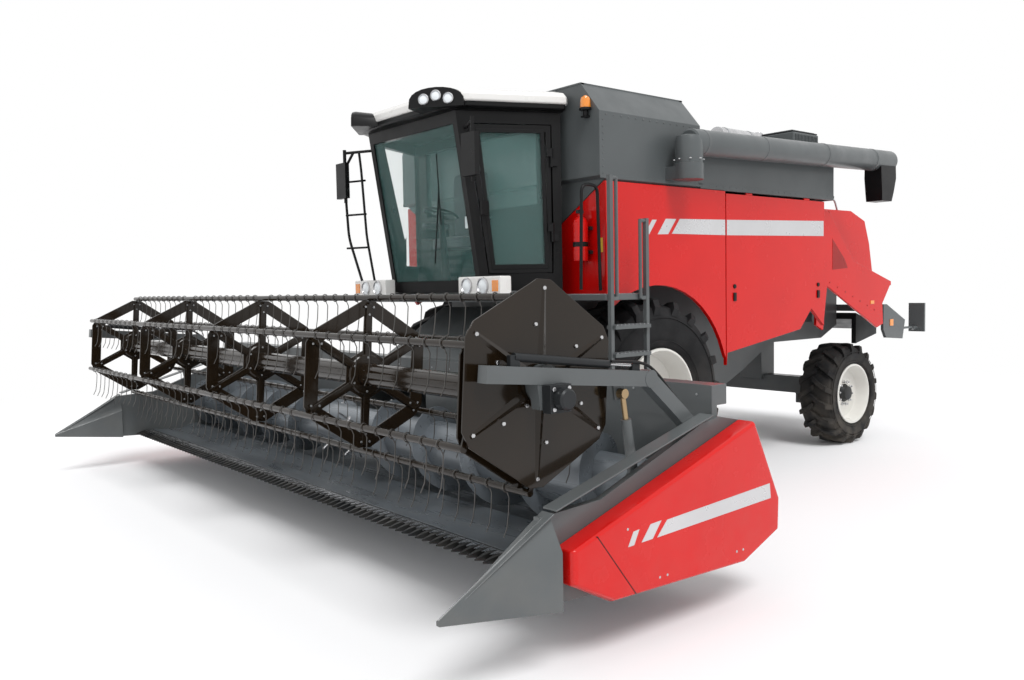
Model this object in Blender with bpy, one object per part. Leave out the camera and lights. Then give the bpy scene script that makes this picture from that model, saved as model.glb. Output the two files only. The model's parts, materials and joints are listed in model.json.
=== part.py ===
"""Combine harvester with a grain header, built as separate solids on real joints.

Frame: metres, +Z up, ground at Z = 0, the machine drives towards -Y and its own left
side is +X. The origin is on the ground under the middle of the whole machine. The
header stands a little clear of the ground, as it is carried when the machine parks.
"""
import math

import bmesh
import bpy
from mathutils import Matrix, Vector

# ---------------------------------------------------------------- driving dimensions
GAP = 0.0003               # two meshes that touch keep this much air
PIN_CLEAR = 0.0008         # a pin in its eye, each side
RUN_CLEAR = 0.012          # moving panels beside fixed ones

LENGTH = 9.00              # divider tips to rear marker boards
TIP_Y = -LENGTH / 2
TAIL_Y = LENGTH / 2

# wheels and axles
FRONT_AXLE_Y = -0.70
WHEELBASE = 3.60
REAR_AXLE_Y = FRONT_AXLE_Y + WHEELBASE
FRONT_TYRE_R, FRONT_TYRE_W = 0.885, 0.65
REAR_TYRE_R, REAR_TYRE_W = 0.585, 0.42
FRONT_RIM_R, REAR_RIM_R = 0.430, 0.326
FRONT_WHEEL_X = 1.225      # middle of the tyre
REAR_WHEEL_X = 1.125
KINGPIN_X = 0.80
AXLE_SEAT_Z = 1.06         # underside of the thresher over the front axle
REAR_SEAT_Z = 1.20         # underside of the frame over the rear axle
HUB_IN = 0.05              # a wheel's mounting face, inwards from the tyre's middle

# body
BODY_HALF = 1.50           # outer face of the side panels
PANEL_T = 0.04
THRESHER_HALF = 0.72
BODY_FRONT_Y = -1.34
PANEL_SPLIT_Y = 0.27
PANEL_REAR_Y = 1.97
BELT_Z = 2.76              # where red panels meet the grey upper body
TANK_FRONT_Y = -1.40
TANK_REAR_Y = -0.10
TANK_WALL_Z = 3.33
TANK_RIM_Z = 3.59
TANK_RIM_HALF = 1.275
TANK_T = 0.03
DECK_Z = 3.28
ARCH_R = 1.00
HOOD_HALF = 1.05
HOOD_REAR_Y = 3.85
SKIRT_HALF = 1.40

# cab and platform
DECK_FLOOR_Z = 1.82
CAB_FRONT_HALF, CAB_REAR_HALF = 0.70, 1.10
CAB_FRONT_TOP_Y, CAB_FRONT_LOW_Y = -2.28, -2.04
CAB_REAR_Y = -1.47
CAB_ROOF_Z = 3.36
POST = 0.06
DOOR_SILL = 0.145          # door's lower edge above the cab's floor, over the lamp boxes
DOOR_MARGIN = 0.08         # from the cab's corners to the door and side window

# header
REEL_Y, REEL_Z, REEL_R = -3.73, 1.34, 0.50
ECC_Y, ECC_Z = 0.02, 0.06  # the control plate's axis from the reel's
KNIFE_Y, KNIFE_Z = -3.57, 0.36
AUGER_Y, AUGER_Z = -2.88, 0.70
AUGER_R, AUGER_TUBE_R = 0.30, 0.19
BACK_Y, BACK_TOP_Z = -2.52, 1.30
END_IN, END_OUT = 3.49, 3.53
SHIELD_OUT = 3.66
ARM_IN, ARM_OUT = 3.385, 3.455
ARM_PIVOT = (-2.60, 1.04)
FEEDER_HALF = 0.60
FEEDER_PIVOT = (-1.56, 1.52)

LAMP_BACK_Y = -2.09
SEGS = 32
BACK_REAR_Y = BACK_Y + 0.05
REEL_TURN = -4.0           # the reel's rest angle, degrees
SPIDER_X = (-3.26, -1.64, 0.0, 1.64, 3.26)
PLATE_X = 3.33
REEL_CYL_X = 3.425
REEL_CYL_BASE = (-3.12, 0.84)
REEL_CYL_TOP = (-3.20, 1.31)
LIFT_BASE = (-1.12, 0.84)
LIFT_TOP = (-2.16, 0.60)
LIFT_X = 0.45              # middle of each header lift cylinder
REEL_EYE_HALF, LIFT_EYE_HALF = 0.0305, 0.052
EYE_SHARE = 0.7            # a rod's eye is this much of the barrel's in width
LADDER_X = BODY_HALF + 0.22
AUGER_POST = (BODY_HALF + 0.165, -0.47, 2.94)
AUGER_OUTLET_Y = 3.02

# ---------------------------------------------------------------- finishes
FINISH = {                 # colour, roughness, metallic
    "red": ((0.62, 0.012, 0.008, 1), 0.30, 0.0),
    "grey": ((0.115, 0.125, 0.13, 1), 0.45, 0.0),
    "dark": ((0.025, 0.026, 0.028, 1), 0.55, 0.0),
    "reel": ((0.022, 0.015, 0.010, 1), 0.35, 0.2),
    "steel": ((0.45, 0.45, 0.46, 1), 0.30, 1.0),
    "cream": ((0.75, 0.74, 0.70, 1), 0.40, 0.0),
    "rubber": ((0.015, 0.015, 0.016, 1), 0.80, 0.0),
    "glass": ((0.70, 0.85, 0.82, 1), 0.05, 0.0),
    "fabric": ((0.05, 0.05, 0.055, 1), 0.90, 0.0),
}


def material(name):
    mat = bpy.data.materials.get(name)
    if mat is None:
        colour, roughness, metallic = FINISH[name]
        mat = bpy.data.materials.new(name)
        mat.use_nodes = True
        shader = mat.node_tree.nodes["Principled BSDF"]
        shader.inputs["Base Color"].default_value = colour
        shader.inputs["Roughness"].default_value = roughness
        shader.inputs["Metallic"].default_value = metallic
    return mat


# ---------------------------------------------------------------- shape helpers
def clear_scene():
    for obj in list(bpy.data.objects):
        bpy.data.objects.remove(obj, do_unlink=True)


def new_object(name, bm):
    bmesh.ops.recalc_face_normals(bm, faces=bm.faces)
    if bm.calc_volume(signed=True) < 0:
        bmesh.ops.reverse_faces(bm, faces=bm.faces)
    mesh = bpy.data.meshes.new(name)
    bm.to_mesh(mesh)
    bm.free()
    obj = bpy.data.objects.new(name, mesh)
    bpy.context.scene.collection.objects.link(obj)
    return obj


def loft(rings):
    """A closed solid through rings of equal point count."""
    bm = bmesh.new()
    loops = [[bm.verts.new(p) for p in ring] for ring in rings]
    count = len(rings[0])
    for low, high in zip(loops, loops[1:]):
        for i in range(count):
            j = (i + 1) % count
            bm.faces.new((low[i], low[j], high[j], high[i]))
    bm.faces.new(loops[0])
    bm.faces.new(reversed(loops[-1]))
    return new_object("shape", bm)


def slab_x(outline, x0, x1):
    """A (y, z) outline made thick along X."""
    return loft([[(x, y, z) for y, z in outline] for x in (x0, x1)])


def slab_y(outline, y0, y1):
    """A (x, z) outline made thick along Y."""
    return loft([[(x, y, z) for x, z in outline] for y in (y0, y1)])


def slab_z(outline, z0, z1):
    """A (x, y) outline made thick along Z."""
    return loft([[(x, y, z) for x, y in outline] for z in (z0, z1)])


def block(x0, x1, y0, y1, z0, z1):
    return slab_z([(x0, y0), (x1, y0), (x1, y1), (x0, y1)], z0, z1)


def rod(start, end, radius, segs=12, end_radius=None):
    """A round bar, or a cone if end_radius differs, between two points."""
    start, end = Vector(start), Vector(end)
    axis = end - start
    bm = bmesh.new()
    bmesh.ops.create_cone(bm, cap_ends=True, segments=segs, radius1=radius,
                          radius2=radius if end_radius is None else end_radius,
                          depth=axis.length)
    turn = Vector((0, 0, 1)).rotation_difference(axis).to_matrix().to_4x4()
    bm.transform(Matrix.Translation((start + end) / 2) @ turn)
    return new_object("shape", bm)


def beam(start, end, width, height):
    """A rectangular bar between two points in a plane of constant X; width is along X."""
    start, end = Vector(start), Vector(end)
    along = (end - start).normalized()
    side = Vector((1, 0, 0)) * (width / 2)
    up = along.cross(Vector((1, 0, 0))).normalized() * (height / 2)
    corners = (side + up, side - up, -side - up, -side + up)
    return loft([[p + c for c in corners] for p in (start, end)])


def turned(profile, centre, segs=SEGS, flip=1):
    """A (radius, x) profile turned about an X axis; it starts and ends at radius 0."""
    bm = bmesh.new()
    rings = []
    for radius, dx in profile:
        x = centre[0] + flip * dx
        if radius == 0:
            rings.append([bm.verts.new((x, centre[1], centre[2]))])
            continue
        ring = []
        for i in range(segs):
            a = 2 * math.pi * i / segs
            ring.append(bm.verts.new((x, centre[1] + radius * math.cos(a),
                                      centre[2] + radius * math.sin(a))))
        rings.append(ring)
    for low, high in zip(rings, rings[1:]):
        for i in range(segs):
            j = (i + 1) % segs
            if len(low) == 1:
                bm.faces.new((low[0], high[i], high[j]))
            elif len(high) == 1:
                bm.faces.new((low[i], low[j], high[0]))
            else:
                bm.faces.new((low[i], low[j], high[j], high[i]))
    return new_object("shape", bm)


def ring_points(radius, sides, centre=(0, 0), start=0.0):
    return [(centre[0] + radius * math.cos(start + 2 * math.pi * i / sides),
             centre[1] + radius * math.sin(start + 2 * math.pi * i / sides))
            for i in range(sides)]


def arc(centre, radius, start, end, steps):
    """Points of an arc, angles in degrees."""
    return [(centre[0] + radius * math.cos(math.radians(start + (end - start) * i / steps)),
             centre[1] + radius * math.sin(math.radians(start + (end - start) * i / steps)))
            for i in range(steps + 1)]


def boolean(base, tools, operation, solver="EXACT"):
    if not tools:
        return
    group = bpy.data.collections.new("tools")
    for tool in tools:
        group.objects.link(tool)
        bpy.context.scene.collection.objects.unlink(tool)
    bpy.context.scene.collection.children.link(group)
    mod = base.modifiers.new(operation, "BOOLEAN")
    mod.operation = operation
    mod.operand_type = "COLLECTION"
    mod.collection = group
    mod.solver = solver
    depsgraph = bpy.context.evaluated_depsgraph_get()
    mesh = bpy.data.meshes.new_from_object(base.evaluated_get(depsgraph))
    base.modifiers.remove(mod)
    base.data = mesh
    for tool in tools:
        bpy.data.objects.remove(tool, do_unlink=True)
    bpy.data.collections.remove(group)


def node(name, finish, shapes, cuts=(), origin=(0, 0, 0), solver="EXACT"):
    """Join shapes into one closed solid, take the cuts away, and set its origin."""
    base = shapes[0]
    boolean(base, list(shapes[1:]), "UNION", solver)
    boolean(base, list(cuts), "DIFFERENCE", solver)
    base.name = name
    base.data.name = name
    bm = bmesh.new()
    bm.from_mesh(base.data)
    bmesh.ops.remove_doubles(bm, verts=bm.verts, dist=0.00001)
    bm.to_mesh(base.data)
    bm.free()
    base.data.materials.clear()
    base.data.materials.append(material(finish))
    base.data.transform(Matrix.Translation(-Vector(origin)))
    base.location = origin
    base.data.shade_smooth()
    base.data.set_sharp_from_angle(angle=math.radians(35))
    return base


SIDES = (("left", 1), ("right", -1))


def mirrored(side, x0, x1):
    """An X range on the left side, or its mirror image, in rising order."""
    return (x0, x1) if side > 0 else (-x1, -x0)


# ---------------------------------------------------------------- wheels and axles
def wheel(name, side, centre, radius, width, rim, hub_r, hub_in):
    """Tyre and dished rim as one turned solid. hub_in is its mounting face from the middle."""
    half = width / 2
    wall = radius - rim
    profile = [
        (0, -hub_in), (hub_r, -hub_in), (hub_r, 0.0), (rim - 0.07, 0.02),
        (rim - 0.03, -half + 0.07), (rim + 0.01, -half + 0.05), (rim + wall * 0.45, -half),
        (rim + wall * 0.80, -half + 0.02), (radius, -half + 0.07), (radius, half - 0.07),
        (rim + wall * 0.80, half - 0.02), (rim + wall * 0.45, half), (rim + 0.01, half - 0.05),
        (rim - 0.03, half - 0.07), (rim - 0.06, 0.07), (hub_r * 0.9, 0.05),
        (hub_r * 0.7, 0.11), (0, 0.11)]
    shape = turned(profile, centre, flip=side)
    return node(name, "rubber", [shape], origin=centre)


def front_axle():
    centre_z = FRONT_TYRE_R
    face = FRONT_WHEEL_X - HUB_IN - GAP
    shapes = [rod((-face, FRONT_AXLE_Y, centre_z), (face, FRONT_AXLE_Y, centre_z), 0.11, 20)]
    drop = [(FRONT_AXLE_Y - 0.20, centre_z - 0.18), (FRONT_AXLE_Y + 0.20, centre_z - 0.18),
            (FRONT_AXLE_Y + 0.20, 1.30), (FRONT_AXLE_Y - 0.20, 1.30)]
    pad = [(FRONT_AXLE_Y - 0.15, centre_z - 0.05), (FRONT_AXLE_Y + 0.15, centre_z - 0.05),
           (FRONT_AXLE_Y + 0.15, AXLE_SEAT_Z - GAP), (FRONT_AXLE_Y - 0.15, AXLE_SEAT_Z - GAP)]
    for _, side in SIDES:
        shapes.append(slab_x(drop, *mirrored(side, THRESHER_HALF + GAP, 0.86)))
        shapes.append(slab_x(pad, *mirrored(side, 0.40, 0.60)))
        shapes.append(rod((side * 0.80, FRONT_AXLE_Y, centre_z),
                          (side * face, FRONT_AXLE_Y, centre_z), 0.17, 20))
    node("front_axle", "grey", shapes)


def rear_axle():
    """Beam with a fork at each end; the kingpins turn in the forks."""
    z = REAR_TYRE_R
    shapes = [block(-0.70, 0.70, REAR_AXLE_Y - 0.09, REAR_AXLE_Y + 0.09, z - 0.04, z + 0.16),
              block(-0.16, 0.16, REAR_AXLE_Y - 0.14, REAR_AXLE_Y + 0.14, z + 0.10,
                    REAR_SEAT_Z - GAP)]
    for _, side in SIDES:
        for low, high in ((z + 0.10, z + 0.16), (z - 0.16, z - 0.10)):
            shapes.append(block(*mirrored(side, 0.62, KINGPIN_X + 0.06), REAR_AXLE_Y - 0.07,
                                REAR_AXLE_Y + 0.07, low, high))
        shapes.append(block(*mirrored(side, 0.60, 0.70), REAR_AXLE_Y - 0.07,
                            REAR_AXLE_Y + 0.07, z - 0.16, z))
    node("rear_axle", "grey", shapes)
    stub_end = REAR_WHEEL_X - HUB_IN - GAP
    for name, side in SIDES:
        pin = (side * KINGPIN_X, REAR_AXLE_Y, z)
        shapes = [rod((pin[0], pin[1], z - 0.10 + GAP), (pin[0], pin[1], z + 0.10 - GAP), 0.055, 20),
                  rod(pin, (side * stub_end, REAR_AXLE_Y, z), 0.045, 20),
                  rod((side * (stub_end - 0.04), REAR_AXLE_Y, z), (side * stub_end, REAR_AXLE_Y, z),
                      0.10, 20)]
        node("knuckle_" + name, "grey", shapes, origin=pin)


# ---------------------------------------------------------------- body
def thresher_body():
    """The closed threshing and separating housing that carries everything else."""
    outline = [(BODY_FRONT_Y, 1.30), (-1.02, AXLE_SEAT_Z), (-0.45, AXLE_SEAT_Z), (-0.10, 0.66),
               (1.00, 0.66), (1.60, 0.92), (2.15, REAR_SEAT_Z), (3.20, REAR_SEAT_Z), (3.55, 1.35),
               (3.55, 1.90), (2.60, 2.30), (2.10, BELT_Z - GAP), (-0.06, BELT_Z - GAP),
               (-0.06, 2.28), (BODY_FRONT_Y, 2.28)]
    half = THRESHER_HALF
    shell = slab_x(outline, -half, half)
    straw_exit = slab_x([(2.95, 1.26), (3.19, 1.26), (3.70, 1.48), (3.70, 1.80), (3.10, 1.80)],
                        -half + 0.04, half - 0.04)
    hangers = []
    for _, side in SIDES:
        for y in (-0.60, 1.60):      # outriggers to the lower edge of the side panels
            hangers.append(block(*mirrored(side, half - 0.05, BODY_HALF - PANEL_T - GAP),
                                 y, y + 0.06, 2.10, 2.18))
        hangers.append(block(*mirrored(side, half - 0.05, 1.30), 2.06, 2.12, 1.45, 1.55))
    py, pz = FEEDER_PIVOT
    holes = [straw_exit]
    for _, side in SIDES:
        ear = [(BODY_FRONT_Y + 0.02, pz - 0.14), (BODY_FRONT_Y + 0.02, pz + 0.14)]
        ear += arc((py, pz), 0.075, 90, 270, 6)
        hangers.append(slab_x(ear, *mirrored(side, FEEDER_HALF + 0.008, FEEDER_HALF + 0.06)))
        hangers.append(rod((side * (FEEDER_HALF - 0.05), py, pz), (side * (FEEDER_HALF + 0.03), py, pz),
                           0.035, 16))
        by, bz = LIFT_BASE
        hangers.append(slab_x([(by - 0.07, bz - 0.05), (by + 0.07, bz - 0.05), (by + 0.12, 1.18),
                               (by - 0.12, 1.18)], *mirrored(side, 0.5403, 0.58)))
        holes.append(rod((side * 0.52, by, bz), (side * 0.60, by, bz), 0.028 + PIN_CLEAR, 24))
    node("thresher_body", "grey", [shell] + hangers, holes)


def grain_tank():
    """Open hopper: vertical walls, a V bottom, and an extension that leans inwards."""
    wall, rim = BODY_HALF - 0.005, TANK_RIM_HALF
    foot = THRESHER_HALF - 0.02

    def ring(half, front, rear, z):
        return [(-half, front, z), (half, front, z), (half, rear, z), (-half, rear, z)]

    front, rear = TANK_FRONT_Y, TANK_REAR_Y
    floor = 2.28 + GAP
    outer = loft([ring(foot, BODY_FRONT_Y, rear, floor), ring(wall, BODY_FRONT_Y, rear, BELT_Z + 0.02),
                  ring(wall, front, rear, BELT_Z + 0.04), ring(wall, front, rear, TANK_WALL_Z),
                  ring(rim, front, rear, TANK_RIM_Z)])
    t = TANK_T
    inner = loft([ring(foot - t, BODY_FRONT_Y + t, rear - t, floor + t),
                  ring(wall - t, BODY_FRONT_Y + t, rear - t, BELT_Z + 0.02 + t),
                  ring(wall - t, front + t, rear - t, TANK_WALL_Z),
                  ring(rim - t, front + t, rear - t, TANK_RIM_Z + t)])
    boolean(outer, [inner], "DIFFERENCE")
    x, y, z = AUGER_POST
    post = [rod((x, y, z - 0.14), (x, y, z - GAP), 0.13, 20),
            block(BODY_HALF - 0.02, x, y - 0.12, y + 0.12, z - 0.13, z - 0.02)]
    node("grain_tank", "grey", [outer] + post)


def engine_bay():
    """Rear part of the grey upper body: a cover open at the bottom, with the engine in it."""
    half, t = BODY_HALF - 0.005, 0.03
    y0, y1 = TANK_REAR_Y + GAP, 2.17
    cover = block(-half, half, y0, y1, BELT_Z + GAP, DECK_Z)
    inside = block(-half + t, half - t, y0 + t, y1 - t, BELT_Z - 0.1, DECK_Z - t)
    feet = [block(*mirrored(side, THRESHER_HALF - 0.10, half - 0.01), y, y + 0.05,
                  BELT_Z + GAP, BELT_Z + 0.05) for _, side in SIDES for y in (0.20, 1.90)]
    boolean(cover, [inside], "DIFFERENCE")
    screen = block(0.55, 1.35, 1.62, 2.10, DECK_Z - 0.01, DECK_Z + 0.19)
    node("engine_bay_cover", "grey", [cover, screen] + feet)
    node("engine_block", "dark", [block(-0.40, 0.45, 0.55, 1.60, BELT_Z, DECK_Z - t - 0.02)])
    muffler = [rod((0.95, 0.85, DECK_Z + 0.12), (0.95, 1.45, DECK_Z + 0.12), 0.10, 20),
               block(0.89, 1.01, 0.95, 1.01, DECK_Z + GAP, DECK_Z + 0.10),
               block(0.89, 1.01, 1.30, 1.36, DECK_Z + GAP, DECK_Z + 0.10)]
    node("muffler", "steel", muffler)


def side_panels():
    """Red side panels: a fixed front corner piece and a big rear door on each side."""
    axle_z = FRONT_TYRE_R
    arch_front = [(FRONT_AXLE_Y + ARCH_R * math.cos(math.radians(a)),
                   axle_z + ARCH_R * math.sin(math.radians(a)))
                  for a in range(20, 125, 8)]
    arch_low = arch_front[0]
    for name, side in SIDES:
        outer, inner = side * BODY_HALF, side * (BODY_HALF - PANEL_T)
        x0, x1 = sorted((outer, inner))
        top = BELT_Z - GAP
        arch = [p for p in arch_front if p[0] < PANEL_SPLIT_Y - RUN_CLEAR / 2]
        split_z = axle_z + math.sqrt(ARCH_R ** 2 - (PANEL_SPLIT_Y - FRONT_AXLE_Y) ** 2)
        front = [(BODY_FRONT_Y, DECK_FLOOR_Z), (BODY_FRONT_Y, top),
                 (PANEL_SPLIT_Y - RUN_CLEAR / 2, top), (PANEL_SPLIT_Y - RUN_CLEAR / 2, split_z + 0.05)]
        front += arch
        face = block(*mirrored(side, THRESHER_HALF + GAP, BODY_HALF), BODY_FRONT_Y,
                     BODY_FRONT_Y + PANEL_T, DECK_FLOOR_Z, top)
        keep = slab_x(front, x0, x1)
        lean = grain_tank_lean(side)
        node("side_panel_front_" + name, "red", [keep, face], [lean])
        door_top = top - 0.022
        door = [(PANEL_SPLIT_Y + RUN_CLEAR / 2, split_z - 0.02),
                (PANEL_SPLIT_Y + RUN_CLEAR / 2, door_top), (PANEL_REAR_Y, door_top),
                (PANEL_REAR_Y, 1.42), (1.73, 1.61), (1.52, 1.40), (0.29, arch_low[1])]
        pin_x, pin_z = side * (BODY_HALF - 0.015), top - 0.01
        hinge = []
        for y in (0.60, 1.60):
            hinge += [rod((pin_x, y, pin_z), (pin_x, y + 0.10, pin_z), 0.0098, 12),
                      block(pin_x - 0.006, pin_x + 0.006, y, y + 0.10, top - 0.05, pin_z)]
        node("side_door_" + name, "red", [slab_x(door, x0, x1)] + hinge,
             origin=(pin_x, (PANEL_SPLIT_Y + PANEL_REAR_Y) / 2, pin_z))


def grain_tank_lean(side):
    """The tank's sloping bottom plus clearance, cut from the panel that meets it."""
    foot, wall = THRESHER_HALF - 0.02, BODY_HALF
    z0, z1 = 2.28, BELT_Z + 0.02
    slope = (wall - foot) / (z1 - z0)
    x0, x1 = side * (foot - 0.02), side * (foot + slope * (BELT_Z + 0.1 - z0) - 0.02)
    c = 0.004
    outline = [(x0, z0 - c), (x0 + side * 0.02, z0 - c), (x1 + side * 0.02, BELT_Z + 0.1 - c),
               (x0, BELT_Z + 0.1)]
    return slab_y(outline, BODY_FRONT_Y - 0.01, TANK_REAR_Y + 0.01)


def rear_hood():
    """Upper straw hood with flared skirts, hollow and open at the bottom."""
    y0 = PANEL_REAR_Y + RUN_CLEAR
    half, t = HOOD_HALF, 0.03
    clear = GAP
    upper = [(2.22, 2.40), (2.22, BELT_Z - 0.03), (3.30, BELT_Z - 0.03), (3.62, 2.62),
             (HOOD_REAR_Y - 0.12, 2.35), (HOOD_REAR_Y, 1.82), (3.60, 1.82)]
    shapes = [slab_x(upper, -half, half)]
    cuts = [slab_x([(2.25, 2.32), (2.25, BELT_Z - 0.03 - t), (3.29, BELT_Z - 0.03 - t),
                    (3.59, 2.60), (HOOD_REAR_Y - 0.15, 2.34), (HOOD_REAR_Y - t, 1.80), (3.58, 1.80)],
                   -half + t, half - t)]
    cuts.append(block(-THRESHER_HALF - clear, THRESHER_HALF + clear, 2.15, 2.40, 2.20,
                      BELT_Z - 0.035 - t))
    skirt = [(y0, 1.42), (y0, BELT_Z - 0.10), (2.22, BELT_Z - 0.10), (2.75, 2.10), (3.60, 1.86),
             (3.40, 1.62), (3.42, 1.38), (3.28, 1.34), (2.20, 1.84), (2.12, 1.36)]
    for _, side in SIDES:
        shapes.append(slab_x(skirt, *mirrored(side, SKIRT_HALF - t, SKIRT_HALF)))
        shapes.append(slab_x([(2.24, BELT_Z - 0.16), (2.24, BELT_Z - 0.10), (2.75, 2.12),
                              (3.60, 1.88), (3.60, 1.83), (2.72, 2.06)],
                             *mirrored(side, half - t, SKIRT_HALF)))
        shapes.append(block(*mirrored(side, THRESHER_HALF + clear, half), 2.30, 2.36, 2.20, 2.50))
    node("rear_hood", "red", shapes, cuts)


def straw_spreader():
    y0, y1 = 3.55 + GAP, 4.05
    deck = slab_x([(3.55 + GAP, 1.50), (y1, 1.34), (y1, 1.22), (3.55 + GAP, 1.12)], -0.98, 0.98)
    chute = slab_x([(y0, 1.42), (y1 + 0.05, 1.26), (y1 + 0.05, 1.10), (y0, 1.05)], -0.92, 0.92)
    fins = [slab_x([(y0 + 0.02, 1.12), (y0 + 0.02, 1.45), (y1 - 0.02, 1.31), (y1 - 0.02, 1.16)],
                   x - 0.006, x + 0.006) for x in (-0.6, -0.3, 0.0, 0.3, 0.6)]
    node("straw_spreader", "dark", [deck] + fins, [chute])


def rear_light_frame():
    """Cross beam and grey plates behind the skirts, with lamp arms and marker boards."""
    front = 3.55 + GAP
    shapes = [block(-1.31, 1.31, front, 3.62, 1.52, 1.60)]
    for _, side in SIDES:
        shapes.append(slab_x([(front, 1.30), (front, 1.605), (3.625, 1.605), (4.08, 1.40),
                              (4.02, 1.17), (3.62, 1.20)], *mirrored(side, 1.30, 1.335)))
        shapes.append(rod((side * 1.32, 4.02, 1.30), (side * 1.32, 4.28, 1.30), 0.014, 8))
        shapes.append(rod((side * 1.32, 4.26, 1.28), (side * 1.32, 4.44, 1.28), 0.014, 8))
        shapes.append(block(*mirrored(side, 1.22, 1.42), TAIL_Y - 0.10, TAIL_Y - 0.07, 1.24, 1.60))
        shapes.append(block(*mirrored(side, 1.27, 1.37), TAIL_Y - 0.08, TAIL_Y, 1.50, 1.57))
        shapes.append(rod((side * 1.32, TAIL_Y - 0.20, 1.29), (side * 1.32, TAIL_Y - 0.085, 1.29),
                          0.02, 8))
    node("rear_light_frame", "grey", shapes)


# ---------------------------------------------------------------- cab
def cab_outline(inset, front_y):
    """Plan of the cab at one height, as (x, y) corners from rear left round to rear right."""
    front, rear = CAB_FRONT_HALF - inset, CAB_REAR_HALF - inset
    return [(rear, CAB_REAR_Y - inset), (front, front_y + inset),
            (-front, front_y + inset), (-rear, CAB_REAR_Y - inset)]


def plan_shell(front_low_y, front_high_y, z0, z1, inset):
    rings = []
    for z, front_y in ((z0, front_low_y), (z1, front_high_y)):
        rings.append([(x, y, z) for x, y in cab_outline(inset, front_y)])
    shell = loft(rings)
    # the side walls are twisted, so they are split the same way every time
    bm = bmesh.new()
    bm.from_mesh(shell.data)
    bmesh.ops.triangulate(bm, faces=bm.faces, quad_method="FIXED")
    bm.to_mesh(shell.data)
    bm.free()
    return shell


CAB_FLOOR_Z = DECK_FLOOR_Z + 0.0403
CAB_SILL = 0.16
WHEEL_TO_GLASS = 0.188669   # steering column's top behind the cab's front


def cab_front_at(z):
    """Y of the leaning front of the cab at a height."""
    share = (z - CAB_FLOOR_Z) / (CAB_ROOF_Z - CAB_FLOOR_Z)
    return CAB_FRONT_LOW_Y + (CAB_FRONT_TOP_Y - CAB_FRONT_LOW_Y) * share


def cab():
    t = POST
    z0, z1 = CAB_FLOOR_Z, CAB_ROOF_Z
    low_y, high_y = CAB_FRONT_LOW_Y, CAB_FRONT_TOP_Y

    front_at = cab_front_at
    outer = plan_shell(low_y, high_y, z0, z1, 0.0)
    inner = plan_shell(front_at(z0 + 0.06), high_y, z0 + 0.06, z1 + 0.01, t)
    boolean(outer, [inner], "DIFFERENCE")
    sill, head = z0 + CAB_SILL, z1 - 0.10
    # windows: front, right side, rear and the door opening on the left
    front_cut = loft([[(-CAB_FRONT_HALF + t, front_at(z) - 0.2, z),
                       (CAB_FRONT_HALF - t, front_at(z) - 0.2, z),
                       (CAB_FRONT_HALF - t, front_at(z) + 0.3, z),
                       (-CAB_FRONT_HALF + t, front_at(z) + 0.3, z)] for z in (sill - 0.06, head)])
    cuts = [front_cut]
    for side in (1, -1):
        bottom = z0 + DOOR_SILL if side > 0 else sill + 0.10
        cuts.append(side_opening(side, front_at, bottom, head, 0.20, 0.075, DOOR_MARGIN))
    cuts.append(block(-CAB_REAR_HALF + 0.25, CAB_REAR_HALF - 0.25, CAB_REAR_Y - 0.15,
                      CAB_REAR_Y + 0.1, z0 + 0.75, head))
    seam = DOOR_MARGIN + 0.004
    hinge = door_hinge_point()
    door_knuckles, frame_knuckles = [], []
    for z in HINGE_HEIGHTS:
        door_knuckles += [rod((hinge.x, hinge.y, z), (hinge.x, hinge.y, z + 0.08), 0.0145, 12),
                          side_block(seam, seam + 0.05, 0.010, 0.030, z + 0.01, z + 0.07),
                          side_block(seam + 0.015, seam + 0.05, -0.01, 0.02, z + 0.015, z + 0.065)]
        frame_knuckles += [rod((hinge.x, hinge.y, z - 0.08), (hinge.x, hinge.y, z - GAP), 0.0145, 12),
                           side_block(seam - 0.05, seam, 0.010, 0.030, z - 0.07, z - 0.01),
                           side_block(seam - 0.05, seam - 0.015, -0.01, 0.02, z - 0.065, z - 0.015)]
    boolean(outer, cuts, "DIFFERENCE", "MANIFOLD")
    node("cab_frame", "dark", [outer] + frame_knuckles, solver="MANIFOLD")

    # door: a frame with its window cut, a little proud of the opening all round
    door = side_opening(1, front_at, z0 + DOOR_SILL + 0.008, head - 0.008, 0.0, t - 0.004,
                        DOOR_MARGIN + 0.008)
    glass_cut = side_opening(1, front_at, z0 + DOOR_SILL + 0.07, head - 0.06, 0.25, 0.10, DOOR_MARGIN + 0.05)
    node("cab_door", "dark", [door] + door_knuckles, [glass_cut],
         origin=(hinge.x, hinge.y, HINGE_HEIGHTS[0]))

    # windscreen: one pane set in the front opening
    c = 0.003
    pane = loft([[(-CAB_FRONT_HALF + t + c, front_at(z) + 0.012, z),
                  (CAB_FRONT_HALF - t - c, front_at(z) + 0.012, z),
                  (CAB_FRONT_HALF - t - c, front_at(z) + 0.020, z),
                  (-CAB_FRONT_HALF + t + c, front_at(z) + 0.020, z)]
                 for z in (sill - 0.06 + GAP, head - c)])
    node("windscreen", "glass", [pane])
    cab_roof(front_at)


def side_point(along, z, front_at, side=1):
    """A point on the outer face of the cab's side; along is 0 at the rear, 1 at the front."""
    x = CAB_REAR_HALF + (CAB_FRONT_HALF - CAB_REAR_HALF) * along
    y = CAB_REAR_Y + (front_at(z) - CAB_REAR_Y) * along
    return (x, y, z)


def side_normal(z):
    """Outward normal of the cab's left side in plan."""
    along = Vector(side_point(1, z, cab_front_at)) - Vector(side_point(0, z, cab_front_at))
    return Vector((-along.y, along.x, 0)).normalized()


HINGE_HEIGHTS = (2.35, 2.98)


def door_hinge_point():
    """The door's vertical hinge axis, just outside the seam at the rear post."""
    z = HINGE_HEIGHTS[0]
    rear = Vector(side_point(0, z, cab_front_at))
    along = (Vector(side_point(1, z, cab_front_at)) - rear).normalized()
    return rear + along * (DOOR_MARGIN + 0.004) + side_normal(z) * 0.022


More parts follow.
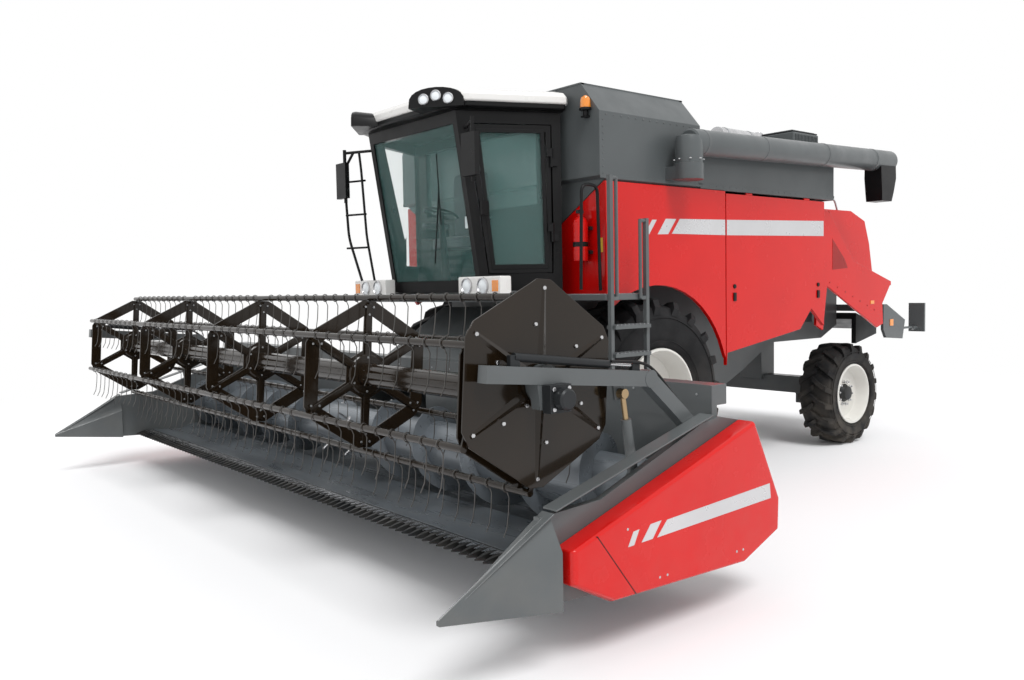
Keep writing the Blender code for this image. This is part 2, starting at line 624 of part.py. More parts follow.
def side_block(along0, along1, out0, out1, z0, z1):
    """A block given by distances forward along the left side and out from it."""
    z = (z0 + z1) / 2
    rear = Vector(side_point(0, z, cab_front_at))
    along = (Vector(side_point(1, z, cab_front_at)) - rear).normalized()
    normal = side_normal(z)
    corners = [rear + along * a + normal * o
               for a, o in ((along0, out0), (along1, out0), (along1, out1), (along0, out1))]
    return slab_z([(p.x, p.y) for p in corners], z0, z1)


def side_opening(side, front_at, z0, z1, out, into, margin):
    """A block through the slanted side wall, reaching out and into the cab."""
    rings = []
    for z in (z0, z1):
        rear, front = Vector(side_point(0, z, front_at)), Vector(side_point(1, z, front_at))
        along = (front - rear).normalized()
        normal = Vector((-along.y, along.x, 0))
        if normal.x < 0:
            normal = -normal
        a, b = rear + along * margin, front - along * margin
        corners = [a + normal * out, b + normal * out, b - normal * into, a - normal * into]
        rings.append([(side * p.x, p.y, p.z) for p in corners])
    return loft(rings)


def cab_roof(front_at):
    z = CAB_ROOF_Z + GAP
    rings = []
    for height, front, rear, y_front, y_rear in (
            (0.00, 0.74, 1.12, CAB_FRONT_TOP_Y - 0.06, CAB_REAR_Y + 0.0),
            (0.05, 0.82, 1.20, CAB_FRONT_TOP_Y - 0.12, CAB_REAR_Y + 0.03),
            (0.11, 0.82, 1.20, CAB_FRONT_TOP_Y - 0.11, CAB_REAR_Y + 0.03),
            (0.19, 0.66, 1.02, CAB_FRONT_TOP_Y + 0.06, CAB_REAR_Y + 0.0)):
        rings.append([(rear, y_rear, z + height), (front, y_front + 0.08, z + height),
                      (front - 0.2, y_front, z + height), (-front + 0.2, y_front, z + height),
                      (-front, y_front + 0.08, z + height), (-rear, y_rear, z + height)])
    roof = loft(rings)
    node("cab_roof", "cream", [roof])


def cab_inside():
    z = CAB_FLOOR_Z + 0.06 + GAP
    post_y = cab_front_at(z + 0.60) + WHEEL_TO_GLASS
    back_y, front_y = CAB_REAR_Y - POST - 0.01, post_y + 0.057
    seat = [block(-0.12, 0.12, front_y + 0.10, back_y - 0.02, z, z + 0.34),
            block(-0.26, 0.26, front_y, back_y, z + 0.32, z + 0.46),
            slab_x([(back_y - 0.12, z + 0.40), (back_y, z + 0.40), (back_y, z + 1.06),
                    (back_y - 0.08, z + 1.06)], -0.24, 0.24),
            block(-0.42, -0.30, front_y - 0.02, back_y - 0.08, z + 0.45, z + 0.60),
            block(-0.40, -0.20, front_y + 0.10, front_y + 0.22, z + 0.34, z + 0.50)]
    node("driver_seat", "fabric", seat)
    column = [rod((0, post_y + 0.04, z + 0.003), (0, post_y, z + 0.60), 0.035, 12),
              rod((0, post_y - 0.005, z + 0.585), (0, post_y + 0.008, z + 0.62), 0.17, 20)]
    node("steering_column", "dark", column)


def platform():
    """Deck that carries the cab, with a wing over the left tyre that holds the ladder."""
    z1 = DECK_FLOOR_Z
    z0 = z1 - 0.05
    top = z1
    deck = [block(-1.20, 1.20, LAMP_BACK_Y + GAP, BODY_FRONT_Y - GAP, z0, top),
            block(1.10, LADDER_X - 0.0185, -1.56, BODY_FRONT_Y - GAP, z0, top),
            block(BODY_HALF + GAP, LADDER_X - 0.0185, -1.56, -1.06, z0, top)]
    pads = [block(-1.0, 1.0, -1.96, -1.50, z1 - 0.02, CAB_FLOOR_Z - GAP)]
    node("platform", "grey", deck + pads)
    for name, side in SIDES:
        box = block(*mirrored(side, 0.59, 1.165), LAMP_BACK_Y - 0.12, LAMP_BACK_Y, z1 - 0.02,
                    z1 + 0.165)
        node("lamp_box_" + name, "cream", [box])


def ladder():
    """Steps beside the left tyre; the stiles run on above the deck as handrails."""
    x, low, deck = LADDER_X, 0.62, DECK_FLOOR_Z
    shapes = []
    for y, top in ((-1.52, deck + 0.95), (-1.10, deck + 0.62)):
        loop = y + 0.07 * (1 if y < -1.3 else -1)
        shapes.append(block(x - 0.018, x + 0.018, y - 0.018, y + 0.018, low, top))
        shapes.append(rod((x, y, top - 0.02), (x, loop, top - 0.02), 0.016, 10))
        shapes.append(rod((x, loop, top - 0.01), (x, loop, deck - 0.04), 0.015, 10))
        shapes.append(block(x - 0.015, x + 0.015, min(y, loop), max(y, loop), deck - 0.05, deck - 0.02))
    steps = 5
    for i in range(steps):
        z = low + 0.02 + i * (deck - 0.06 - low) / steps
        shapes.append(block(x - 0.05, x + 0.05, -1.52, -1.10, z - 0.015, z + 0.015))
    node("ladder", "grey", shapes)


def mirrors():
    """A bracket square to the cab's side, with a hanging rod and the mirror's shell."""
    z = CAB_ROOF_Z - 0.14
    foot = Vector(side_point(0.93, z, cab_front_at))
    normal = side_normal(z)
    near, far = foot - normal * 0.03, foot + normal * 0.34
    for name, side in SIDES:
        def place(p, dz=0.0):
            return (side * p.x, p.y, p.z + dz)
        x, y = side * far.x, far.y
        shapes = [rod(place(near), place(far), 0.014, 8),
                  rod(place(far, 0.03), place(far, -0.48), 0.017, 10),
                  block(x - 0.09, x + 0.09, y - 0.05, y - 0.005, z - 0.44, z - 0.10)]
        wall = plan_shell(CAB_FRONT_LOW_Y, CAB_FRONT_TOP_Y, CAB_FLOOR_Z, CAB_ROOF_Z, -GAP)
        node("mirror_" + name, "dark", shapes, [wall])


def unloading_auger():
    """Folded discharge tube that swings on a post beside the tank."""
    x, y, z = AUGER_POST
    axis_z, end_z = z + 0.19, z + 0.28
    shapes = [rod((x, y, z), (x, y, axis_z + 0.06), 0.125, 20),
              rod((x, y, axis_z), (x, AUGER_OUTLET_Y, end_z), 0.118, 20),
              slab_x([(AUGER_OUTLET_Y - 0.36, end_z - 0.05), (AUGER_OUTLET_Y - 0.03, end_z - 0.05),
                      (AUGER_OUTLET_Y - 0.12, end_z - 0.46), (AUGER_OUTLET_Y - 0.34, end_z - 0.46)],
                     x - 0.105, x + 0.105)]
    node("unloading_auger", "grey", shapes, origin=AUGER_POST)


# ---------------------------------------------------------------- feeder and header
def feeder_house():
    py, pz = FEEDER_PIVOT
    r = 0.19
    outline = arc((py, pz), r, 80, -75, 8)
    outline += [(BACK_REAR_Y + GAP, 0.42), (BACK_REAR_Y + GAP, 1.10)]
    throat = slab_x(outline, -FEEDER_HALF, FEEDER_HALF)
    ey, ez = LIFT_TOP
    lug_in = LIFT_X + LIFT_EYE_HALF * EYE_SHARE + GAP
    lugs = [slab_x([(ey - 0.06, ez - 0.05), (ey + 0.06, ez - 0.05), (ey + 0.14, ez + 0.28),
                    (ey - 0.14, ez + 0.28)], *mirrored(side, lug_in, lug_in + 0.035))
            for _, side in SIDES]
    holes = [rod((side * (FEEDER_HALF - 0.06), py, pz), (side * (FEEDER_HALF + 0.02), py, pz),
                 0.035 + PIN_CLEAR, 20) for _, side in SIDES]
    # the way the crop takes, open towards the header
    channel = slab_x([(-2.60, 0.52), (-2.60, 1.02), (-2.46, 1.02), (-1.80, 1.46), (-1.80, 1.14),
                      (-2.42, 0.55), (-2.46, 0.52)], -FEEDER_HALF + 0.08, FEEDER_HALF - 0.08)
    node("feeder_house", "grey", [throat] + lugs, [channel] + holes, origin=(0, py, pz))


def header_trough():
    py, pz = AUGER_Y, AUGER_Z
    front = KNIFE_Y + 0.07
    outline = [(front, KNIFE_Z - 0.03), (front, KNIFE_Z + 0.012), (-3.20, KNIFE_Z - 0.005)]
    outline += arc((py, pz), AUGER_R + 0.033, -116, -18, 8)
    outline += [(BACK_Y - GAP, 0.66), (BACK_Y - GAP, KNIFE_Z - 0.03)]
    x = END_IN - GAP
    node("header_floor", "grey", [slab_x(outline, -x, x)])
    back = [block(-x, x, BACK_Y, BACK_REAR_Y, KNIFE_Z - 0.03, BACK_TOP_Z),
            block(-x, x, BACK_Y, BACK_REAR_Y + 0.09, BACK_TOP_Z - 0.12, BACK_TOP_Z),
            block(-x, x, BACK_Y, BACK_REAR_Y + 0.06, KNIFE_Z - 0.03, KNIFE_Z + 0.05)]
    mouth = block(-0.52, 0.52, BACK_Y - 0.1, BACK_REAR_Y + 0.01, 0.52, 1.02)
    node("header_back", "grey", back, [mouth])
    cutter = [(front - GAP, KNIFE_Z - 0.03), (front - GAP, KNIFE_Z + 0.010), (KNIFE_Y + 0.02, KNIFE_Z + 0.012),
              (KNIFE_Y - 0.08, KNIFE_Z - 0.008), (KNIFE_Y + 0.01, KNIFE_Z - 0.03)]
    node("cutter_bar", "dark", [slab_x(cutter, -x, x)])


def header_ends():
    for name, side in SIDES:
        x0, x1 = mirrored(side, END_IN, END_OUT)
        sheet = slab_x([(-3.90, 0.34), (-3.90, 0.78), (-3.48, 0.80), (-2.66, 1.10), (-2.50, 1.12),
                        (-2.30, 1.08), (-2.10, 0.62), (-2.11, 0.43), (-2.42, 0.31), (-3.50, 0.32)],
                       x0, x1)
        cy = side * 3.53
        point = loft([[(cy - 0.08, -3.84, 0.33), (cy + 0.10, -3.84, 0.33), (cy + 0.10, -3.84, 0.62),
                       (cy, -3.84, 0.80), (cy - 0.08, -3.84, 0.62)] if side > 0 else
                      [(cy - 0.10, -3.84, 0.33), (cy + 0.08, -3.84, 0.33), (cy + 0.08, -3.84, 0.62),
                       (cy, -3.84, 0.80), (cy - 0.10, -3.84, 0.62)],
                      [(cy - 0.012, TIP_Y, 0.405), (cy + 0.012, TIP_Y, 0.405), (cy + 0.012, TIP_Y, 0.425),
                       (cy, TIP_Y, 0.435), (cy - 0.012, TIP_Y, 0.425)]])
        pin = rod((side * (END_IN + 0.02), *ARM_PIVOT), (side * (ARM_IN - 0.01), *ARM_PIVOT), 0.03, 16)
        boss = rod((side * (END_IN + 0.01), *REEL_CYL_BASE), (side * (REEL_CYL_X + REEL_EYE_HALF + GAP), *REEL_CYL_BASE),
                   0.03, 12)
        node("header_end_" + name, "grey", [sheet, point, pin, boss])
        x0, x1 = mirrored(side, END_OUT + GAP, SHIELD_OUT)
        shield = [(-3.80, 0.45), (-3.80, 0.62), (-3.49, 0.72), (-2.33, 1.09), (-2.085, 0.60),
                  (-2.093, 0.41), (-2.43, 0.28), (-3.53, 0.31)]
        mid_y, mid_z, shrink = -2.85, 0.60, 0.975
        rings = [[(side * (END_OUT + GAP), y, z) for y, z in shield],
                 [(side * (SHIELD_OUT - 0.02), y, z) for y, z in shield],
                 [(side * SHIELD_OUT, mid_y + (y - mid_y) * shrink, mid_z + (z - mid_z) * shrink)
                  for y, z in shield]]
        node("end_shield_" + name, "red", [loft(rings)])


def intake_auger():
    """Crop auger: a tube with flights of opposite hand that meet at the feeder."""
    tube_end = END_IN - GAP
    shapes = [rod((-tube_end, AUGER_Y, AUGER_Z), (tube_end, AUGER_Y, AUGER_Z), AUGER_TUBE_R, 20)]
    pitch, steps = 0.58, 12
    start, end = 0.45, 3.34
    for _, side in SIDES:
        bm = bmesh.new()
        count = int((end - start) / pitch * steps)
        rings = []
        for i in range(count + 1):
            a = 2 * math.pi * i / steps
            x = start + (end - start) * i / count
            ring = []
            for radius, dx in ((AUGER_TUBE_R - 0.03, -0.006), (AUGER_R, -0.006), (AUGER_R, 0.006),
                               (AUGER_TUBE_R - 0.03, 0.006)):
                ring.append(bm.verts.new((side * (x + dx), AUGER_Y + radius * math.cos(a),
                                          AUGER_Z + radius * math.sin(a))))
            rings.append(ring)
        for low, high in zip(rings, rings[1:]):
            for i in range(4):
                j = (i + 1) % 4
                bm.faces.new((low[i], low[j], high[j], high[i]))
        bm.faces.new(rings[0])
        bm.faces.new(reversed(rings[-1]))
        bmesh.ops.triangulate(bm, faces=bm.faces)
        shapes.append(new_object("shape", bm))
    node("intake_auger", "grey", shapes, origin=(0, AUGER_Y, AUGER_Z), solver="MANIFOLD")


# ---------------------------------------------------------------- reel
def vertex(i, radius=None):
    """The i-th corner of the reel at rest, as (y, z) from the reel's axis."""
    radius = REEL_R if radius is None else radius
    a = math.radians(90 + REEL_TURN + 60 * i)
    return (REEL_Y + radius * math.cos(a), REEL_Z + radius * math.sin(a))


def spider_outline(flat_r):
    """A hexagon whose corners are cut flat at flat_r from the middle."""
    points = []
    for i in range(6):
        a = math.radians(90 + REEL_TURN + 60 * i)
        half = 0.045
        for s in (-1, 1):
            points.append((REEL_Y + flat_r * math.cos(a) - s * half * math.sin(a),
                           REEL_Z + flat_r * math.sin(a) + s * half * math.cos(a)))
    return points


def reel():
    bar_r = 0.02
    seat = REEL_R - bar_r - GAP
    shaft_end = ARM_OUT
    shapes = [rod((-SPIDER_X[-1], REEL_Y, REEL_Z), (SPIDER_X[-1], REEL_Y, REEL_Z), 0.075, 16),
              rod((-shaft_end, REEL_Y, REEL_Z), (shaft_end, REEL_Y, REEL_Z), 0.025, 12)]
    for x in SPIDER_X:
        plate = slab_x(spider_outline(seat), x - 0.006, x + 0.006)
        windows = []
        for i in range(6):
            a = math.radians(90 + REEL_TURN + 60 * i + 30)
            def at(radius, off):
                return (REEL_Y + radius * math.cos(a) - off * math.sin(a),
                        REEL_Z + radius * math.sin(a) + off * math.cos(a))
            windows.append(slab_x([at(0.15, -0.05), at(0.345, -0.165), at(0.345, 0.165), at(0.15, 0.05)],
                                  x - 0.05, x + 0.05))
        boolean(plate, windows, "DIFFERENCE")
        shapes.append(plate)
    node("reel_frame", "reel", shapes, origin=(0, REEL_Y, REEL_Z))
    end = SPIDER_X[-1] + 0.04
    for i in range(6):
        y, z = vertex(i)
        crank = beam((end + 0.006, y, z), (end + 0.006, y + ECC_Y, z + ECC_Z), 0.012, 0.03)
        pin = rod((end, y + ECC_Y, z + ECC_Z), (PLATE_X - GAP, y + ECC_Y, z + ECC_Z), 0.014, 12)
        node(f"tine_bar_{i + 1}", "reel",
             [rod((-end, y, z), (end + 0.012, y, z), bar_r, 12), crank, pin], origin=(0, y, z))
    hub_y, hub_z = REEL_Y + ECC_Y, REEL_Z + ECC_Z
    outline = [(y + ECC_Y, z + ECC_Z) for y, z in spider_outline(REEL_R + 0.03)]
    hole = slab_x(ring_points(0.102, 32, (hub_y, hub_z)), PLATE_X - 0.05, PLATE_X + 0.05)
    node("tine_control_plate", "reel", [slab_x(outline, PLATE_X, PLATE_X + 0.012)], [hole],
         origin=(0, hub_y, hub_z))


def reel_arms():
    tip, bend = (-4.14, 1.485), (-3.00, 1.375)
    x = (ARM_IN + ARM_OUT) / 2
    width = ARM_OUT - ARM_IN
    for name, side in SIDES:
        sx = side * x
        shapes = [beam((sx, *tip), (sx, *bend), width, 0.085),
                  beam((sx, *bend), (sx, *ARM_PIVOT), width, 0.085),
                  rod((side * (ARM_IN - 0.002), *bend), (side * (ARM_OUT + 0.002), *bend), 0.050, 16),
                  rod((side * (ARM_IN - 0.002), *ARM_PIVOT), (side * (ARM_OUT + 0.002), *ARM_PIVOT),
                      0.055, 16),
                  slab_x([(REEL_Y - 0.08, REEL_Z - 0.055), (REEL_Y + 0.08, REEL_Z - 0.055),
                          (REEL_Y + 0.10, 1.42), (REEL_Y - 0.10, 1.43)],
                         *mirrored(side, ARM_IN + 0.003, ARM_OUT - 0.003)),
                  slab_x([(REEL_CYL_TOP[0] - 0.035, REEL_CYL_TOP[1] - 0.035),
                          (REEL_CYL_TOP[0] + 0.035, REEL_CYL_TOP[1] - 0.035),
                          (REEL_CYL_TOP[0] + 0.05, 1.38), (REEL_CYL_TOP[0] - 0.05, 1.38)],
                         *mirrored(side, ARM_IN + 0.004,
                                   REEL_CYL_X - REEL_EYE_HALF * EYE_SHARE - GAP))]
        bore_in = PLATE_X - 0.02 if side > 0 else ARM_IN - 0.02
        cuts = [rod((side * bore_in, REEL_Y, REEL_Z), (side * (ARM_OUT + 0.02), REEL_Y, REEL_Z),
                    0.025 + PIN_CLEAR, 16),
                rod((side * (ARM_IN - 0.02), *ARM_PIVOT), (side * (ARM_OUT + 0.02), *ARM_PIVOT),
                    0.03 + PIN_CLEAR, 24)]
        if side > 0:
            shapes.append(slab_x(ring_points(0.099, 24, (REEL_Y + ECC_Y, REEL_Z + ECC_Z)),
                                 PLATE_X + 0.001, ARM_IN + 0.01))
        node("reel_arm_" + name, "grey", shapes, cuts, origin=(sx, *ARM_PIVOT))


def cylinder(x, base, top, barrel_r, rod_r, eye_r, eye_half, share, closing):
    """Shapes of the bored barrel and of the rod between two (y, z) pins.

    share is the barrel's part of the length, closing how far the rod can still go in.
    """
    b, t = Vector((x, *base)), Vector((x, *top))
    along = (t - b).normalized()
    mouth = b + along * ((t - b).length * share)
    bottom = eye_r + 0.006
    tube = rod(b + along * 0.01, mouth, barrel_r, 16)
    bore = rod(b + along * bottom, mouth + along * 0.05, rod_r + PIN_CLEAR, 16)
    boolean(tube, [bore], "DIFFERENCE")
    barrel = [tube, rod((x - eye_half, *base), (x + eye_half, *base), eye_r, 16)]
    piston_eye = eye_half * EYE_SHARE
    piston = [rod(b + along * (bottom + closing + 0.005), t - along * 0.005, rod_r, 12),
              rod((x - piston_eye, *top), (x + piston_eye, *top), eye_r * 0.8, 14)]
    return barrel, piston


def cylinders():
    for name, side in SIDES:
        barrel, piston = cylinder(side * REEL_CYL_X, REEL_CYL_BASE, REEL_CYL_TOP, 0.030, 0.016,
                                  0.034, REEL_EYE_HALF, 0.70, 0.058)
        node("reel_cylinder_barrel_" + name, "grey", barrel,
             origin=(side * REEL_CYL_X, *REEL_CYL_BASE))
        node("reel_cylinder_rod_" + name, "steel", piston, origin=(side * REEL_CYL_X, *REEL_CYL_TOP))
    barrels = [rod((-0.57, *LIFT_BASE), (0.57, *LIFT_BASE), 0.028, 12)]
    rods = [rod((-LIFT_X, *LIFT_TOP), (LIFT_X, *LIFT_TOP), 0.022, 12)]
    for _, side in SIDES:
        barrel, piston = cylinder(side * LIFT_X, LIFT_BASE, LIFT_TOP, 0.048, 0.030, 0.055,
                                  LIFT_EYE_HALF, 0.60, 0.095)
        barrels += barrel
        rods += piston
    node("lift_cylinder_barrels", "grey", barrels, origin=(0, *LIFT_BASE))
    node("lift_cylinder_rods", "steel", rods, origin=(0, *LIFT_TOP))


def main():
    clear_scene()
    for name, side in SIDES:
        wheel("front_wheel_" + name, side, (side * FRONT_WHEEL_X, FRONT_AXLE_Y, FRONT_TYRE_R),
              FRONT_TYRE_R, FRONT_TYRE_W, FRONT_RIM_R, 0.20, HUB_IN)
        wheel("rear_wheel_" + name, side, (side * REAR_WHEEL_X, REAR_AXLE_Y, REAR_TYRE_R),
              REAR_TYRE_R, REAR_TYRE_W, REAR_RIM_R, 0.13, HUB_IN)
    front_axle()
    rear_axle()
    thresher_body()
    grain_tank()
    engine_bay()
    side_panels()
    rear_hood()
    straw_spreader()
    rear_light_frame()
    cab()
    cab_inside()
    platform()
    ladder()
    mirrors()
    unloading_auger()
    feeder_house()
    header_trough()
    header_ends()
    intake_auger()
    reel()
    reel_arms()
    cylinders()


main()
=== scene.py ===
# %% [markdown]
# # The looks of a combine harvester
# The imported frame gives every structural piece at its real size, in metres: the front of the
# machine faces -Y, its own left side is +X, and the ground is z = 0. This script never moves
# those pieces. It rounds their edges, gives them their finishes, and adds what is too fine
# for the structure: tyre lugs, reel tines, knife guards, bolts, glass, lamps and the seat.

import json
import math

import bmesh
import bpy
from mathutils import Matrix, Vector

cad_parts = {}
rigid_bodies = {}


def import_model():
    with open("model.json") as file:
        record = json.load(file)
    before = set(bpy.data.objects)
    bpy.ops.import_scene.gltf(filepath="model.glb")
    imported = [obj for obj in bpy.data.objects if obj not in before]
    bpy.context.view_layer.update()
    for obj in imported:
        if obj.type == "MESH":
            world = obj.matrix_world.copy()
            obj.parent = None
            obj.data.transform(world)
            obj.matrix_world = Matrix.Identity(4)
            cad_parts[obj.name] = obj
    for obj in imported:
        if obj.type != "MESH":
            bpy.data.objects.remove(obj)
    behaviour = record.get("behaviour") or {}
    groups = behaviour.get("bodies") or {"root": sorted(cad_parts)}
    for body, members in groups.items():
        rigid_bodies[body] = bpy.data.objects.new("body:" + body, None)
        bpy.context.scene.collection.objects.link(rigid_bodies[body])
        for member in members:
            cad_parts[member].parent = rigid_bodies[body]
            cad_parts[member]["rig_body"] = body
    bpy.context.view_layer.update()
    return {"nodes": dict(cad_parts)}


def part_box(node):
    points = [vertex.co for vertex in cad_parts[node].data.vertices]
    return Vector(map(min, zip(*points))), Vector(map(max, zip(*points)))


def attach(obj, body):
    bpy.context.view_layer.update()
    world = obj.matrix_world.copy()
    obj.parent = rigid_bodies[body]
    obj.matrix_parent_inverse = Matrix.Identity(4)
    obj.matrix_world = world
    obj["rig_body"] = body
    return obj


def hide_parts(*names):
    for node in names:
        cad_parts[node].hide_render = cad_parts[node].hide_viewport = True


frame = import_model()
SIDES = (("left", 1), ("right", -1))

# %% [markdown]
# ## Camera, floor and light
# The camera stands low, ahead of the machine's left front corner. The floor is a pale disc
# that keeps the shadow near the machine and fades to plain white far away, so no horizon
# shows. One soft sun from the left front and a pale sky make the light, which keeps a
# colour about as it is written.

# %% Camera
CAMERA_PLACE = Vector((6.695, -6.653, 1.889))
CAMERA_TURN = math.radians(50.53)
CAMERA_DIP = math.radians(3.4)
CAMERA_ROLL = math.radians(-1.06)
LENS_MM = 31.1

scene = bpy.context.scene
scene.view_settings.view_transform = "Standard"
camera = bpy.data.objects.new("camera", bpy.data.cameras.new("camera"))
scene.collection.objects.link(camera)
scene.camera = camera
camera.data.lens = LENS_MM
camera.data.sensor_width = 36.0
camera.data.clip_end = 400
ahead = Vector((-math.sin(CAMERA_TURN) * math.cos(CAMERA_DIP),
                math.cos(CAMERA_TURN) * math.cos(CAMERA_DIP), -math.sin(CAMERA_DIP)))
camera.rotation_mode = "QUATERNION"
camera.rotation_quaternion = (ahead.to_track_quat("-Z", "Y").to_matrix()
                              @ Matrix.Rotation(CAMERA_ROLL, 3, "Z")).to_quaternion()
camera.location = CAMERA_PLACE
print("camera at", tuple(round(v, 2) for v in camera.location))


# %% Floor, sky and sun
def seen_directly(tree):
    """1 for rays that show the background itself: camera, mirror and glass rays."""
    path = tree.nodes.new("ShaderNodeLightPath")
    total = None
    for name in ("Is Camera Ray", "Is Glossy Ray", "Is Transmission Ray"):
        if total is None:
            total = path.outputs[name]
            continue
        peak = tree.nodes.new("ShaderNodeMath")
        peak.operation = "MAXIMUM"
        tree.links.new(total, peak.inputs[0])
        tree.links.new(path.outputs[name], peak.inputs[1])
        total = peak.outputs[0]
    return total


SKY_LIGHT = 0.80
FLOOR_NEAR, FLOOR_FAR = 6.5, 12.0

world = bpy.data.worlds.new("sky")
scene.world = world
world.use_nodes = True
sky_tree = world.node_tree
sky = sky_tree.nodes["Background"]
sky.inputs["Color"].default_value = (1, 1, 1, 1)
strength = sky_tree.nodes.new("ShaderNodeMapRange")
strength.inputs["To Min"].default_value = SKY_LIGHT
strength.inputs["To Max"].default_value = 1.0
sky_tree.links.new(seen_directly(sky_tree), strength.inputs["Value"])
sky_tree.links.new(strength.outputs[0], sky.inputs["Strength"])

floor_material = bpy.data.materials.new("floor_white")
floor_material.use_nodes = True
floor_tree = floor_material.node_tree
floor_tree.nodes.clear()
floor_out = floor_tree.nodes.new("ShaderNodeOutputMaterial")
floor_mix = floor_tree.nodes.new("ShaderNodeMixShader")
floor_paint = floor_tree.nodes.new("ShaderNodeBsdfDiffuse")
floor_paint.inputs["Color"].default_value = (0.92, 0.92, 0.93, 1)
floor_glow = floor_tree.nodes.new("ShaderNodeEmission")
floor_place = floor_tree.nodes.new("ShaderNodeTexCoord")
floor_reach = floor_tree.nodes.new("ShaderNodeVectorMath")
floor_reach.operation = "LENGTH"
floor_fade = floor_tree.nodes.new("ShaderNodeMapRange")
floor_fade.interpolation_type = "SMOOTHSTEP"
floor_fade.inputs["From Min"].default_value = FLOOR_NEAR
floor_fade.inputs["From Max"].default_value = FLOOR_FAR
floor_tree.links.new(floor_place.outputs["Object"], floor_reach.inputs[0])
floor_tree.links.new(floor_reach.outputs["Value"], floor_fade.inputs["Value"])
floor_tree.links.new(floor_fade.outputs[0], floor_mix.inputs[0])
floor_tree.links.new(floor_paint.outputs[0], floor_mix.inputs[1])
floor_tree.links.new(floor_glow.outputs[0], floor_mix.inputs[2])
floor_tree.links.new(floor_mix.outputs[0], floor_out.inputs[0])

floor_bm = bmesh.new()
bmesh.ops.create_circle(floor_bm, cap_ends=True, segments=64, radius=150)
floor_mesh = bpy.data.meshes.new("floor")
floor_bm.to_mesh(floor_mesh)
floor_bm.free()
floor_mesh.materials.append(floor_material)
floor = bpy.data.objects.new("floor", floor_mesh)
scene.collection.objects.link(floor)

sun = bpy.data.objects.new("sun", bpy.data.lights.new("sun", "SUN"))
scene.collection.objects.link(sun)
sun.data.energy = 1.75
sun.data.angle = math.radians(24)
sun.rotation_euler = (math.radians(34), math.radians(8), math.radians(62))
print("floor, sky and sun are set")

# %% [markdown]
# ## Finishes
# Every finish is worked out from the piece's own Object coordinates: a slow noise shifts the
# colour a little, a fine one gives orange peel or grain as bump, and the lowest parts carry
# a thin film of dust. Values that are the same all over stay on the shader's own sockets.


# %% Material helpers
def link(tree, source, target):
    tree.links.new(source, target)


def make_node(tree, kind, **values):
    made = tree.nodes.new(kind)
    for key, value in values.items():
        if hasattr(made, key):
            setattr(made, key, value)
        else:
            made.inputs[key.replace("_", " ")].default_value = value
    return made


def blank_material(name):
    material = bpy.data.materials.new(name)
    material.use_nodes = True
    shader = material.node_tree.nodes["Principled BSDF"]
    return material, material.node_tree, shader


def noise(tree, scale, detail=3.0, stretch=None):
    """A noise value read from Object coordinates, stretched along an axis if asked."""
    place = tree.nodes.new("ShaderNodeTexCoord").outputs["Object"]
    if stretch:
        mapping = tree.nodes.new("ShaderNodeMapping")
        mapping.inputs["Scale"].default_value = stretch
        link(tree, place, mapping.inputs["Vector"])
        place = mapping.outputs[0]
    texture = tree.nodes.new("ShaderNodeTexNoise")
    texture.inputs["Scale"].default_value = scale
    texture.inputs["Detail"].default_value = detail
    link(tree, place, texture.inputs["Vector"])
    return texture.outputs["Fac"]


def ranged(tree, value, low, high, start=0.3, stop=0.7):
    box = tree.nodes.new("ShaderNodeMapRange")
    box.inputs["From Min"].default_value = start
    box.inputs["From Max"].default_value = stop
    box.inputs["To Min"].default_value = low
    box.inputs["To Max"].default_value = high
    link(tree, value, box.inputs["Value"])
    return box.outputs[0]


def mixed(tree, factor, first, second):
    mix = tree.nodes.new("ShaderNodeMix")
    mix.data_type = "RGBA"
    colours = [s for s in mix.inputs if s.type == "RGBA"]
    for socket, colour in zip(colours, (first, second)):
        if isinstance(colour, tuple):
            socket.default_value = colour
        else:
            link(tree, colour, socket)
    link(tree, factor, mix.inputs[0])
    return [s for s in mix.outputs if s.type == "RGBA"][0]


def bump(tree, shader, height, strength, distance=0.002):
    node = tree.nodes.new("ShaderNodeBump")
    node.inputs["Strength"].default_value = strength
    node.inputs["Distance"].default_value = distance
    link(tree, height, node.inputs["Height"])
    link(tree, node.outputs[0], shader.inputs["Normal"])


DUST = (0.30, 0.26, 0.21, 1)


def finish(name, colour, rough, metallic=0.0, coat=0.0, dust=0.0, grain=220.0, peel=0.06,
           spread=0.10, stretch=None, shine=0.5):
    """A painted, moulded or metal surface with slow colour change, grain and low dust."""
    material, tree, shader = blank_material(name)
    dark = tuple(c * (1 - spread) for c in colour) + (1,)
    light = tuple(min(1, c * (1 + spread)) for c in colour) + (1,)
    base = mixed(tree, ranged(tree, noise(tree, 1.7, 4.0, stretch), 0, 1), dark, light)
    if dust:
        place = tree.nodes.new("ShaderNodeTexCoord")
        split = tree.nodes.new("ShaderNodeSeparateXYZ")
        link(tree, place.outputs["Object"], split.inputs[0])
        low = ranged(tree, split.outputs["Z"], dust, 0.0, 0.1, 1.3)
        patch = tree.nodes.new("ShaderNodeMath")
        patch.operation = "MULTIPLY"
        link(tree, low, patch.inputs[0])
        link(tree, ranged(tree, noise(tree, 6.0, 6.0), 0, 1, 0.35, 0.65), patch.inputs[1])
        base = mixed(tree, patch.outputs[0], base, DUST)
    link(tree, base, shader.inputs["Base Color"])
    link(tree, ranged(tree, noise(tree, 5.0, 5.0, stretch), rough * 0.8, rough * 1.25),
         shader.inputs["Roughness"])
    shader.inputs["Metallic"].default_value = metallic
    shader.inputs["Specular IOR Level"].default_value = shine
    shader.inputs["Coat Weight"].default_value = coat
    shader.inputs["Coat Roughness"].default_value = 0.06
    bump(tree, shader, noise(tree, grain, 2.0, stretch), peel)
    return material


